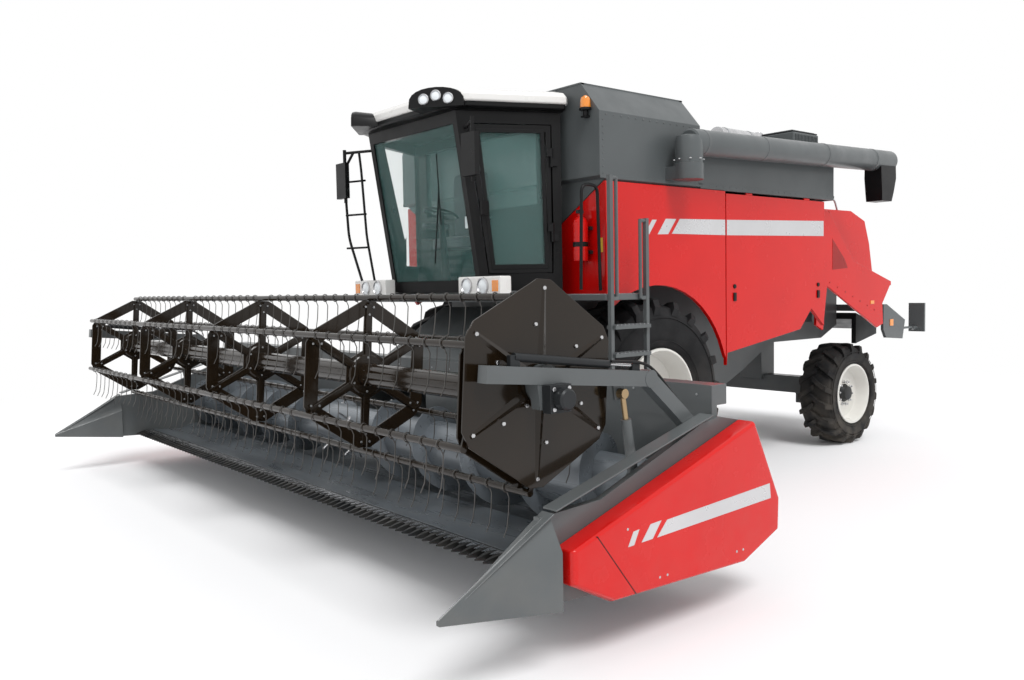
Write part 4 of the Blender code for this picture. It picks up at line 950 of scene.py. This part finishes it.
# %% Ribs behind the header and its seams
bm = bmesh.new()
for k in range(8):
    x = -3.2 + 6.4 * k / 7
    if abs(x) > 0.66:
        add_plate(bm, [(-2.4695, 0.40), (-2.4695, 1.17), (-2.40, 1.17), (-2.43, 0.40)],
                  x - 0.02, x + 0.02)
make_piece("header_ribs", bm, [GREY], "header", width=0.003)
marks = []
for k in range(28):
    marks.append((-3.38 + 6.76 * k / 27, -2.521, 1.24))
on_marks("header_back_bolts", RIVET, marks, ZINC, "header", turn=FORWARDS)

# %% Divider points and end shields
bm = bmesh.new()
for name, side in SIDES:
    x = side * 3.66
    add_plate(bm, [(-3.64, 0.665), (-3.634, 0.665), (-3.360, 0.315), (-3.366, 0.315)],
              x - side * 0.006, x + side * 0.0012, 1)
    for y0, y1, y2, y3, z0, z1, z2, z3 in (
            (-3.20, -3.12, -2.20, -2.19, 0.575, 0.655, 0.705, 0.615),
            (-3.32, -3.25, -3.165, -3.235, 0.572, 0.655, 0.66, 0.575),
            (-3.42, -3.38, -3.335, -3.375, 0.568, 0.64, 0.645, 0.57)):
        add_plate(bm, [(y0, z0), (y1, z1), (y2, z2), (y3, z3)], x - side * 0.002,
                  x + side * 0.0015, 0)
make_piece("shield_stripes", bm, [SILVER, BLACK], "header")
marks = []
for y, z in ((-3.18, 0.36), (-3.12, 0.36), (-2.52, 0.36), (-2.46, 0.36), (-3.42, 0.66)):
    marks.append((3.658, y, z))
on_marks("shield_bolts_left", RIVET, marks, STEEL, "header", turn=LEFTWARDS)
on_marks("shield_bolts_right", RIVET, [(-x, y, z) for x, y, z in marks], STEEL, "header",
         turn=RIGHTWARDS)
bm = bmesh.new()
for name, side in SIDES:
    x = side * 3.53
    add_loft(bm, [[(x - 0.05, -3.83, 0.805), (x + 0.05, -3.83, 0.805), (x + 0.05, -3.83, 0.815),
                   (x - 0.05, -3.83, 0.815)],
                  [(x - 0.05, -2.62, 1.14), (x + 0.05, -2.62, 1.14), (x + 0.05, -2.62, 1.15),
                   (x - 0.05, -2.62, 1.15)]])
    add_loft(bm, [[(x - 0.045, -3.84, 0.79), (x + 0.045, -3.84, 0.79), (x + 0.045, -3.84, 0.80),
                   (x - 0.045, -3.84, 0.80)],
                  [(x - 0.012, -4.42, 0.455), (x + 0.012, -4.42, 0.455), (x + 0.012, -4.42, 0.462),
                   (x - 0.012, -4.42, 0.462)]])
make_piece("divider_caps", bm, [GREY], "header", width=0.003)
print("header pieces done")

# %% Reel drive and arm fittings
bm = bmesh.new()
for name, side in SIDES:
    x = side * 3.457
    add_block(bm, min(x, x + side * 0.06), max(x, x + side * 0.06), -3.80, -3.66, 1.27, 1.41, 0)
    add_turned(bm, [(0, 0.055), (0.05, 0.055), (0.06, 0.045)], (x + side * 0.06, -3.73, 1.34), 20, 0,
               axis=Vector((side, 0, 0)))
    add_tube(bm, [(side * 3.42, -3.95, 1.555), (side * 3.42, -3.30, 1.475)], 0.022, 14, 0)
    add_tube(bm, [(side * 3.42, -3.30, 1.475), (side * 3.42, -3.10, 1.452)], 0.010, 10, 1)
    for y, z in ((-3.95, 1.535), (-3.10, 1.435)):
        add_block(bm, side * 3.42 - 0.015, side * 3.42 + 0.015, y - 0.03, y + 0.03, z - 0.05,
                  z + 0.03, 0)
    hose = [(side * 3.44, -3.30, 1.49), (side * 3.445, -3.05, 1.47), (side * 3.445, -2.95, 1.41),
            (side * 3.44, -2.72, 1.19)]
    add_tube(bm, bend_path(hose, 0.1), 0.009, 8, 2)
make_piece("reel_drive", bm, [DARK, STEEL, BLACK], "reel_arms", width=0.002)
marks = []
for dy, dz in ((-0.05, -0.05), (0.05, -0.05), (-0.05, 0.05), (0.05, 0.05)):
    marks.append((3.517, -3.73 + dy, 1.34 + dz))
on_marks("reel_drive_bolts", BOLT, marks, STEEL, "reel_arms")

# %% [markdown]
# ## The body
# The silver stripe and its slashes are thin foils a millimetre proud of the red panels.
# The grey upper body gets rivet lines, seams and latches, and the engine deck carries the
# air screen, the outlet pipe and low boxes.

# %% Stripes and slashes on the side panels
bm = bmesh.new()
for name, side in SIDES:
    x0, x1 = side * 1.4995, side * 1.5012
    x0, x1 = min(x0, x1), max(x0, x1)
    for outline in ([(-0.51, 2.34), (-0.40, 2.475), (0.258, 2.49), (0.258, 2.345)],
                    [(-0.70, 2.33), (-0.59, 2.47), (-0.45, 2.472), (-0.56, 2.335)],
                    [(-0.87, 2.325), (-0.77, 2.455), (-0.71, 2.457), (-0.81, 2.328)]):
        add_plate(bm, outline, x0, x1)
make_piece("body_stripes", bm, [SILVER], "machine")
for name, side in SIDES:
    bm = bmesh.new()
    x0, x1 = sorted((side * 1.4995, side * 1.5012))
    add_plate(bm, [(0.284, 2.345), (0.284, 2.49), (1.955, 2.535), (1.955, 2.375)], x0, x1)
    make_piece(f"door_stripe_{name}", bm, [SILVER], f"side_door_{name}")
    bm = bmesh.new()
    for y in (0.40, 1.85):
        add_block(bm, *sorted((side * 1.498, side * 1.512)), y - 0.02, y + 0.02, 1.72, 1.80, 0)
        add_turned(bm, [(0, 0.022), (0.012, 0.020)], (side * 1.499, y, 1.86), 16, 0,
                   axis=Vector((side, 0, 0)))
    make_piece(f"door_latches_{name}", bm, [BLACK], f"side_door_{name}",
               width=0.002)

# %% Rivets and flanges on the tank and bay
marks = {1: [], -1: []}
for _, side in SIDES:
    for k in range(9):
        marks[side].append((side * 1.495, -1.36, 2.82 + 0.055 * k))
    for k in range(14):
        marks[side].append((side * 1.495, -1.32 + 0.09 * k, 3.305))
    for k in range(22):
        marks[side].append((side * 1.495, -0.06 + 0.10 * k, 3.255))
        marks[side].append((side * 1.496, -0.06 + 0.10 * k, 2.795))
for name, side in SIDES:
    on_marks(f"tank_rivets_{name}", RIVET, marks[side], GREY, "machine",
             turn=OUT[side])
bm = bmesh.new()
for _, side in SIDES:
    x0, x1 = sorted((side * 1.494, side * 1.497))
    add_block(bm, x0, x1, -1.40, 2.17, 2.780, 2.81, 0)
    add_block(bm, x0, x1, -0.125, -0.075, 2.80, 3.28, 0)
rim = 1.275
for y0, y1, x0, x1 in ((-1.405, -1.36, -rim - 0.01, rim + 0.01),
                       (-0.14, -0.095, -rim - 0.01, rim + 0.01),
                       (-1.40, -0.10, -rim - 0.01, -rim + 0.035),
                       (-1.40, -0.10, rim - 0.035, rim + 0.01)):
    add_block(bm, x0, x1, y0, y1, 3.578, 3.592, 0)
make_piece("tank_flanges", bm, [GREY_TANK], "machine", width=0.003)

# %% Engine deck
bm = bmesh.new()
add_block(bm, 0.56, 1.34, 1.63, 2.09, 3.472, 3.486, 1)
for k in range(18):
    y = 1.65 + 0.024 * k
    add_block(bm, 0.58, 1.32, y, y + 0.008, 3.486, 3.496, 0)
for k in range(16):
    x = 1.352
    y = 1.66 + 0.027 * k
    add_block(bm, x - 0.002, x + 0.006, y, y + 0.009, 3.31, 3.45, 0)
add_tube(bm, bend_path([(0.95, 1.45, 3.40), (0.95, 1.56, 3.40), (0.95, 1.58, 3.50)], 0.05), 0.045,
         20, 2)
add_block(bm, 0.10, 0.50, 0.10, 0.62, 3.281, 3.33, 1)
add_block(bm, 0.80, 1.30, 0.10, 0.60, 3.281, 3.34, 1)
add_block(bm, -1.10, -0.30, 0.40, 1.60, 3.281, 3.36, 0)
for y in (0.95, 1.35):
    add_turned(bm, [(-0.012, 0.104), (0.012, 0.104)], (0.95, y, 3.40), 28, 3, axis=Vector((0, 1, 0)))
make_piece("deck_fittings", bm, [GREY, DARK, STEEL, ZINC], "machine", width=0.003)

# %% Unloading auger
POST = Vector((1.665, -0.47, 2.94))
bm = bmesh.new()
tube_start, tube_end = Vector((1.665, -0.47, 3.13)), Vector((1.665, 3.02, 3.22))
along = (tube_end - tube_start).normalized()
length = (tube_end - tube_start).length
add_turned(bm, [(0.0, 0.004), (0.0, 0.10), (0.012, 0.116), (length - 0.03, 0.116),
                (length - 0.008, 0.105), (length, 0.06), (length, 0.004)], tube_start, 40, 0,
           axis=along)
add_turned(bm, [(0.0, 0.004), (0.0, 0.122), (0.19, 0.122), (0.235, 0.108), (0.25, 0.06),
                (0.25, 0.004)], POST + Vector((0, 0, 0.001)), 40, 0, axis=Vector((0, 0, 1)))
for d in (0.16, 1.05, 2.1, 3.06):
    add_turned(bm, [(d - 0.02, 0.112), (d - 0.016, 0.1185), (d + 0.016, 0.1185), (d + 0.02, 0.112)],
               tube_start, 40, 1, closed=True, axis=along)
rings = []
for y0, y1, z, half in ((2.67, 2.99, 3.20, 0.095), (2.67, 2.99, 3.02, 0.10),
                        (2.69, 2.94, 2.86, 0.098), (2.70, 2.905, 2.765, 0.094)):
    rings.append([(1.665 - half, y0, z), (1.665 + half, y0, z), (1.665 + half, y1, z),
                  (1.665 - half, y1, z)])
add_loft(bm, rings, 2)
make_piece("auger_tube", bm, [GREY_TANK, GREY, BLACK], "unloading_auger",
           ["unloading_auger"])
marks = [tuple(POST + Vector((0.125 * math.cos(a), 0.125 * math.sin(a), 0.03)))
         for a in (math.pi / 4 * k for k in range(8))]
on_marks("auger_post_bolts", BOLT, marks, STEEL, "unloading_auger", turn=UPWARDS)
print("body pieces done")

# %% [markdown]
# ## The cab
# The cab is a dark frame that widens to the rear, with bonded glass on every side and a
# pale roof on a black band. A humped pod on the roof's left front corner holds three
# round work lamps; a plain pod matches it on the right.

# %% Cab measures
FLOOR_Z, ROOF_Z = 1.8603, 3.36
CAB_REAR_Y = -1.47
FRONT_LOW_Y, FRONT_TOP_Y = -2.04, -2.28
FRONT_HALF, REAR_HALF = 0.70, 1.10


def front_y(z):
    return FRONT_LOW_Y + (FRONT_TOP_Y - FRONT_LOW_Y) * (z - FLOOR_Z) / (ROOF_Z - FLOOR_Z)


def side_at(share, z, side=1, out=0.0):
    """A point on the cab's side wall: share is 0 at the rear post and 1 at the front."""
    rear = Vector((REAR_HALF, CAB_REAR_Y, z))
    fore = Vector((FRONT_HALF, front_y(z), z))
    along = (fore - rear).normalized()
    normal = Vector((-along.y, along.x, 0))
    p = rear + (fore - rear) * share + normal * out
    return Vector((side * p.x, p.y, p.z))


def side_pane(bm, side, share0, share1, z0, z1, depth, thick, slot=0):
    """Glass set in the side wall at a depth behind its face."""
    rings = []
    for d in (depth, depth + thick):
        rings.append([side_at(share0, z0, side, -d), side_at(share1, z0, side, -d),
                      side_at(share1, z1, side, -d), side_at(share0, z1, side, -d)])
    add_loft(bm, rings, slot)


# %% Glass panes and seals
head = ROOF_Z - 0.10
bm = bmesh.new()
side_pane(bm, 1, 0.20, 0.80, FLOOR_Z + 0.215, head - 0.06, 0.020, 0.006)
make_piece("door_glass", bm, [GLASS], "cab_door")
bm = bmesh.new()
side_pane(bm, -1, 0.10, 0.90, FLOOR_Z + 0.26, head, 0.020, 0.006)
add_block(bm, -0.85, 0.85, -1.512, -1.506, FLOOR_Z + 0.75, head, 0)
make_piece("cab_glass_fixed", bm, [GLASS], "machine")
bm = bmesh.new()
for share0, share1, z0, z1 in ((0.165, 0.205, 2.05, 3.21), (0.795, 0.835, 2.05, 3.21),
                               (0.165, 0.835, 2.045, 2.085), (0.165, 0.835, 3.185, 3.215)):
    side_pane(bm, 1, share0, share1, z0, z1, -0.004, 0.010)
add_block(bm, 0.80, 0.815, -2.115, -2.03, 2.50, 2.62, 0)
make_piece("door_seal", bm, [BLACK], "cab_door", width=0.002)

# %% Roof, band and lamp pods
bm = bmesh.new()


def roof_ring(grow, z, fore=0.0):
    front, rear = 0.82 + grow, 1.20 + grow
    y0, y1 = FRONT_TOP_Y - 0.12 - grow * 0.8 + fore, CAB_REAR_Y + 0.03 + grow * 0.2
    ring = [(rear - 0.04, y1, z), (rear, y1 - 0.05, z), (front + 0.05, y0 + 0.14, z),
            (front - 0.05, y0 + 0.05, z), (front - 0.28, y0, z)]
    return ring + [(-x, y, z) for x, y, z in reversed(ring)]


low = ROOF_Z + 0.0003
add_loft(bm, [roof_ring(-0.06, low), roof_ring(-0.02, low + 0.02), roof_ring(-0.015, low + 0.055)], 1)
add_loft(bm, [roof_ring(-0.010, low + 0.055), roof_ring(0.0, low + 0.066),
              roof_ring(0.0, low + 0.115), roof_ring(-0.03, low + 0.150),
              roof_ring(-0.12, low + 0.175), roof_ring(-0.30, low + 0.190, 0.06)], 0)
make_piece("roof_shell", bm, [CREAM, BLACK], "machine", ["cab_roof"], width=0.006)
bm = bmesh.new()
for name, side in SIDES:
    facing = Vector((side * 0.62, -0.78, 0)).normalized()
    across = Vector((-facing.y, facing.x, 0))
    middle = (Vector((side * 0.66, FRONT_TOP_Y - 0.05, 3.435)) + facing * 0.03
              - across * side * 0.07)
    rings = []
    for depth, size in ((-0.26, 0.80), (0.03, 1.0), (0.06, 0.97)):
        ring = []
        for k in range(13):
            a = math.pi * k / 12
            ring.append(middle + facing * depth + across * (0.245 * size * math.cos(a))
                        + Vector((0, 0, -0.06 + 0.165 * size * math.sin(a) ** 0.6)))
        rings.append(ring)
    add_loft(bm, rings, 0)
    for k in ((-1, 0, 1) if side > 0 else (0,)):
        lamp = (middle + facing * 0.058 + across * (0.105 * k)
                + Vector((0, 0, 0.030 - 0.026 * abs(k))))
        add_turned(bm, [(0, 0.044), (0.012, 0.046), (0.018, 0.040), (0.008, 0.034)], lamp, 24, 1,
                   closed=True, axis=facing)
        add_turned(bm, [(0.0, 0.036), (0.008, 0.034), (0.014, 0.018), (0.015, 0.002)], lamp, 24, 2,
                   axis=facing)
make_piece("roof_lamp_pods", bm, [BLACK, STEEL, LENS], "machine")

# %% Lamps in the pale boxes and the beacon
bm = bmesh.new()
for name, side in SIDES:
    for x in (0.72, 0.94):
        at = Vector((side * x, -2.21, 1.905))
        front = Vector((0, -1, 0))
        add_turned(bm, [(-0.004, 0.072), (0.012, 0.072), (0.016, 0.062), (0.004, 0.056)], at, 28, 0,
                   closed=True, axis=front)
        add_turned(bm, [(0.0, 0.060), (0.008, 0.056), (0.016, 0.030), (0.018, 0.002)], at, 28, 1,
                   axis=front)
    at = Vector((side * 1.10, -2.21, 1.905))
    add_block(bm, at.x - 0.035, at.x + 0.035, -2.218, -2.209, 1.86, 1.95, 2)
make_piece("head_lamps", bm, [STEEL, LENS, AMBER], "machine")
bm = bmesh.new()
add_tube(bm, [(1.36, -1.425, 3.30), (1.36, -1.425, 3.345)], 0.022, 12, 1)
add_turned(bm, [(0, 0.052), (0.018, 0.052), (0.022, 0.046)], (1.36, -1.425, 3.345), 24, 1,
           axis=Vector((0, 0, 1)))
add_turned(bm, [(0, 0.045), (0.06, 0.043), (0.085, 0.034), (0.10, 0.012)], (1.36, -1.425, 3.366), 24,
           0, axis=Vector((0, 0, 1)))
add_block(bm, 1.33, 1.39, -1.45, -1.402, 3.285, 3.30, 1)
make_piece("beacon", bm, [AMBER, BLACK], "machine")

# %% Mirrors, rails and the wiper
bm = bmesh.new()
for name, side in SIDES:
    head = [f for f in frame["nodes"]["mirror_" + name].data.polygons
            if f.normal.y > 0.5 and f.area > 0.004 and f.center.z > 2.75]
    points = [frame["nodes"]["mirror_" + name].data.vertices[i].co for f in head for i in f.vertices]
    out = head[0].normal.copy()
    across = Vector((out.y, -out.x, 0))
    reach = [p.dot(across) for p in points]
    heights = [p.z for p in points]
    depth = max(p.dot(out) for p in points)
    ring = [(min(reach) + 0.012, min(heights) + 0.012), (max(reach) - 0.012, min(heights) + 0.012),
            (max(reach) - 0.012, max(heights) - 0.012), (min(reach) + 0.012, max(heights) - 0.012)]
    add_loft(bm, [[across * u + out * (depth + d) + Vector((0, 0, z)) for u, z in ring]
                  for d in (0.0005, 0.0025)])
make_piece("mirror_glass", bm, [STEEL], "machine")
bm = bmesh.new()
rail = [(1.46, -1.375, 1.85), (1.46, -1.40, 2.72), (1.46, -1.58, 2.72), (1.46, -1.60, 1.86)]
add_tube(bm, bend_path(rail, 0.07), 0.014, 12, 0)
wiper = [(0.10, front_y(2.12) - 0.02, 2.12), (0.32, front_y(2.75) - 0.014, 2.75)]
add_tube(bm, wiper, 0.007, 8, 0)
add_tube(bm, [(0.27, front_y(2.45) - 0.012, 2.45), (0.36, front_y(3.05) - 0.012, 3.05)], 0.006, 6, 0)
frame_rail = [(-0.86, -2.30, 1.98), (-1.02, -2.34, 2.40), (-1.05, -2.36, 3.05), (-0.86, -2.36, 3.20)]
add_tube(bm, bend_path(frame_rail, 0.08), 0.013, 10, 0)
inner_rail = [(-0.76, -2.22, 1.98), (-0.80, -2.27, 2.40), (-0.82, -2.30, 3.05), (-0.80, -2.33, 3.20)]
add_tube(bm, bend_path(inner_rail, 0.08), 0.012, 10, 0)
for z in (2.30, 2.62, 2.94):
    add_tube(bm, [(-0.80, -2.27, z), (-1.035, -2.355, z)], 0.010, 8, 0)
make_piece("cab_rails", bm, [BLACK], "machine")

# %% Fire bottle and sticker on the red bulkhead
bm = bmesh.new()
bottle = Vector((1.28, -1.425, 2.10))
add_turned(bm, [(0, 0.060), (0.01, 0.065), (0.12, 0.065)], bottle, 28, 0, axis=Vector((0, 0, 1)))
add_turned(bm, [(0.12, 0.0655), (0.16, 0.0655)], bottle, 28, 1, axis=Vector((0, 0, 1)))
add_turned(bm, [(0.16, 0.065), (0.32, 0.065), (0.36, 0.045), (0.375, 0.020), (0.40, 0.020)], bottle,
           28, 0, axis=Vector((0, 0, 1)))
add_block(bm, 1.262, 1.298, -1.46, -1.40, 2.50, 2.53, 2)
add_block(bm, 1.215, 1.345, -1.37, -1.341, 2.16, 2.19, 2)
add_block(bm, 1.215, 1.345, -1.37, -1.341, 2.36, 2.39, 2)
add_block(bm, 1.40, 1.46, -1.3425, -1.3405, 2.17, 2.29, 3)
make_piece("fire_bottle", bm, [RED, BLACK, DARK, YELLOW], "machine", width=0.002)
print("cab shell done")

# %% [markdown]
# ## Seat and steering
# The seat is the one soft thing: a crowned cushion and back with pulled-in sides, made as
# subdivided boxes whose faces swell towards the middle, over a bellows base. The steering
# wheel is a torus on three spokes.


# %% Crowned cushions
def cushion(name, low, high, crown, finish_, replaced=()):
    bm = bmesh.new()
    low, high = Vector(low), Vector(high)
    bmesh.ops.create_cube(bm, size=1.0)
    bmesh.ops.subdivide_edges(bm, edges=bm.edges, cuts=5, use_grid_fill=True)
    centre, size = (low + high) / 2, high - low
    for vert in bm.verts:
        u = vert.co * 2
        swell = [(1 - (u[(i + 1) % 3]) ** 2) * (1 - (u[(i + 2) % 3]) ** 2) for i in range(3)]
        flat = Vector([u[i] * (size[i] / 2 - crown) + math.copysign(crown, u[i])
                       * (swell[i] if abs(u[i]) > 0.99 else abs(u[i])) for i in range(3)])
        vert.co = centre + flat
    obj = object_from(name, bm, [finish_])
    smooth = obj.modifiers.new("soft", "SUBSURF")
    smooth.levels = smooth.render_levels = 2
    apply_modifiers(obj)
    obj.data.shade_smooth()
    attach(obj, "machine")
    if replaced:
        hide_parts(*replaced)
    return obj


seat_low, seat_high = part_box("driver_seat")
back_y = seat_high.y
cushion("seat_cushion", (-0.255, back_y - 0.38, seat_low.z + 0.32),
        (0.255, back_y - 0.06, seat_low.z + 0.455), 0.022, CLOTH, ["driver_seat"])
cushion("seat_back", (-0.24, back_y - 0.125, seat_low.z + 0.44), (0.24, back_y - 0.005, seat_high.z),
        0.026, CLOTH)
cushion("arm_rest", (-0.415, back_y - 0.36, seat_low.z + 0.54),
        (-0.315, back_y - 0.08, seat_low.z + 0.60), 0.010, CLOTH)
bm = bmesh.new()
zb = seat_low.z
rings = []
for k in range(9):
    grow = 0.012 if k % 2 else 0.0
    z = zb + 0.004 + 0.038 * k
    h = 0.14 + grow
    rings.append([(-h, back_y - 0.29 - grow, z), (h, back_y - 0.29 - grow, z), (h, back_y - 0.05, z),
                  (-h, back_y - 0.05, z)])
add_loft(bm, rings, 0)
add_block(bm, -0.41, -0.32, back_y - 0.37, back_y - 0.10, zb + 0.44, zb + 0.535, 1)
add_block(bm, -0.38, -0.20, back_y - 0.24, back_y - 0.16, zb + 0.34, zb + 0.42, 1)
make_piece("seat_base", bm, [BLACK, BLACK], "machine", width=0.004)

# %% Steering wheel and dash
wheel_low, wheel_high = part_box("steering_column")
hub = Vector((0, (wheel_low.y + wheel_high.y) / 2 - 0.002, wheel_high.z - 0.025))
tilt = Vector((0, 0.30, 1)).normalized()
bm = bmesh.new()
ring = [(0.012 * math.sin(2 * math.pi * k / 10), 0.155 + 0.012 * math.cos(2 * math.pi * k / 10))
        for k in range(10)]
add_turned(bm, ring, hub, 48, 0, closed=True, axis=tilt)
for k in range(3):
    a = math.radians(90 + 120 * k)
    across = tilt.orthogonal().normalized()
    other = tilt.cross(across)
    tip = hub + (across * math.cos(a) + other * math.sin(a)) * 0.15
    add_tube(bm, [hub, tip], 0.009, 8, 0)
add_turned(bm, [(-0.02, 0.028), (0.012, 0.034), (0.016, 0.02)], hub, 20, 0, axis=tilt)
foot = Vector((0, hub.y + 0.05, wheel_low.z + 0.001))
add_tube(bm, [foot, hub], 0.03, 16, 0, radii=[0.042, 0.026])
add_block(bm, 0.33, 0.46, -1.93, -1.86, 2.40, 2.54, 0)
add_block(bm, 0.335, 0.455, -1.932, -1.929, 2.42, 2.525, 1)
add_tube(bm, [(0.40, -1.90, 2.41), (0.40, -1.88, 1.93)], 0.015, 8, 0)
make_piece("steering_wheel", bm, [BLACK, LENS], "machine", ["steering_column"])
print("cab inside done")

# %% [markdown]
# ## Rear end
# Reflectors, lamp pairs and marker boards sit on the bracket plates behind the skirts. The
# hood has latches, low rails and a recessed side whose shade is painted on as a plate of
# darker red.

# %% Hood trim, lamps and boards
bm = bmesh.new()
for name, side in SIDES:
    x = side * 1.4
    x0, x1 = sorted((x - side * 0.001, x + side * 0.006))
    add_block(bm, x0, x1, 3.12, 3.20, 1.62, 1.66, 1)
    add_block(bm, x0, x1, 2.02, 2.10, 1.50, 1.54, 1)
    # A plate of darker red on each hood side: painted shade for the recessed side.
    add_plate(bm, [(2.30, 2.02), (2.30, 2.36), (2.55, 2.14), (2.62, 2.04)],
              *sorted((x - side * 0.002, x + side * 0.003)), 0)
    add_tube(bm, bend_path([(side * 0.98, 2.40, 2.73), (side * 0.98, 2.42, 2.86),
                            (side * 0.98, 3.05, 2.86), (side * 0.98, 3.12, 2.72)], 0.05), 0.011, 10, 2)
    for z in (1.535,):
        add_turned(bm, [(0, 0.028), (0.012, 0.026), (0.016, 0.01)], (side * 1.30, 4.501, z), 20, 3,
                   axis=Vector((0, 1, 0)))
    add_block(bm, *sorted((side * 1.335, side * 1.342)), 3.70, 3.78, 1.34, 1.42, 1)
make_piece("hood_trim", bm, [RED_PAINTED_SHADE, AMBER, ZINC, RED_LENS], "machine", width=0.002)
bm = bmesh.new()
for name, side in SIDES:
    x0, x1 = sorted((side * 1.225, side * 1.415))
    add_block(bm, x0, x1, 4.4295, 4.432, 1.245, 1.49, 0)
make_piece("marker_boards", bm, [BOARD], "machine")
marks = {1: [], -1: []}
for name, side in SIDES:
    for k in range(10):
        marks[side].append((side * 1.401, 2.06, 1.60 + 0.1 * k))
    for k in range(7):
        marks[side].append((side * 1.401, 2.25 + 0.16 * k, 1.88 - 0.055 * k))
# The hood bolts take the darker red as well, with its painted shade.
for name, side in SIDES:
    on_marks(f"hood_bolts_{name}", RIVET, marks[side], RED_PAINTED_SHADE, "machine",
             turn=OUT[side])

# %% Ladder treads and deck plates
bm = bmesh.new()
for k in range(5):
    z = 0.62 + 0.02 + k * (1.82 - 0.06 - 0.62) / 5
    for j in range(9):
        y = -1.50 + 0.045 * j
        add_block(bm, 1.672, 1.768, y, y + 0.010, z + 0.0152, z + 0.022)
make_piece("ladder_treads", bm, [ZINC], "machine")
diamond = bmesh.new()
add_loft(diamond, [[(-0.014, 0, 0), (0, -0.005, 0), (0.014, 0, 0), (0, 0.005, 0)],
                   [(-0.008, 0, 0.003), (0, -0.003, 0.003), (0.008, 0, 0.003), (0, 0.003, 0.003)]])
marks = []
for i in range(18):
    for j in range(14):
        x, y = 1.12 + 0.032 * i, -1.54 + 0.034 * j
        if y > -1.36 and x < 1.52:
            continue
        marks.append((x, y, 1.8203))
on_marks("deck_pattern", unit_from("diamond_unit", diamond), marks, GREY, "machine",
         turn=(0, 0, 0.6), smooth=False)
print("rear and deck done")
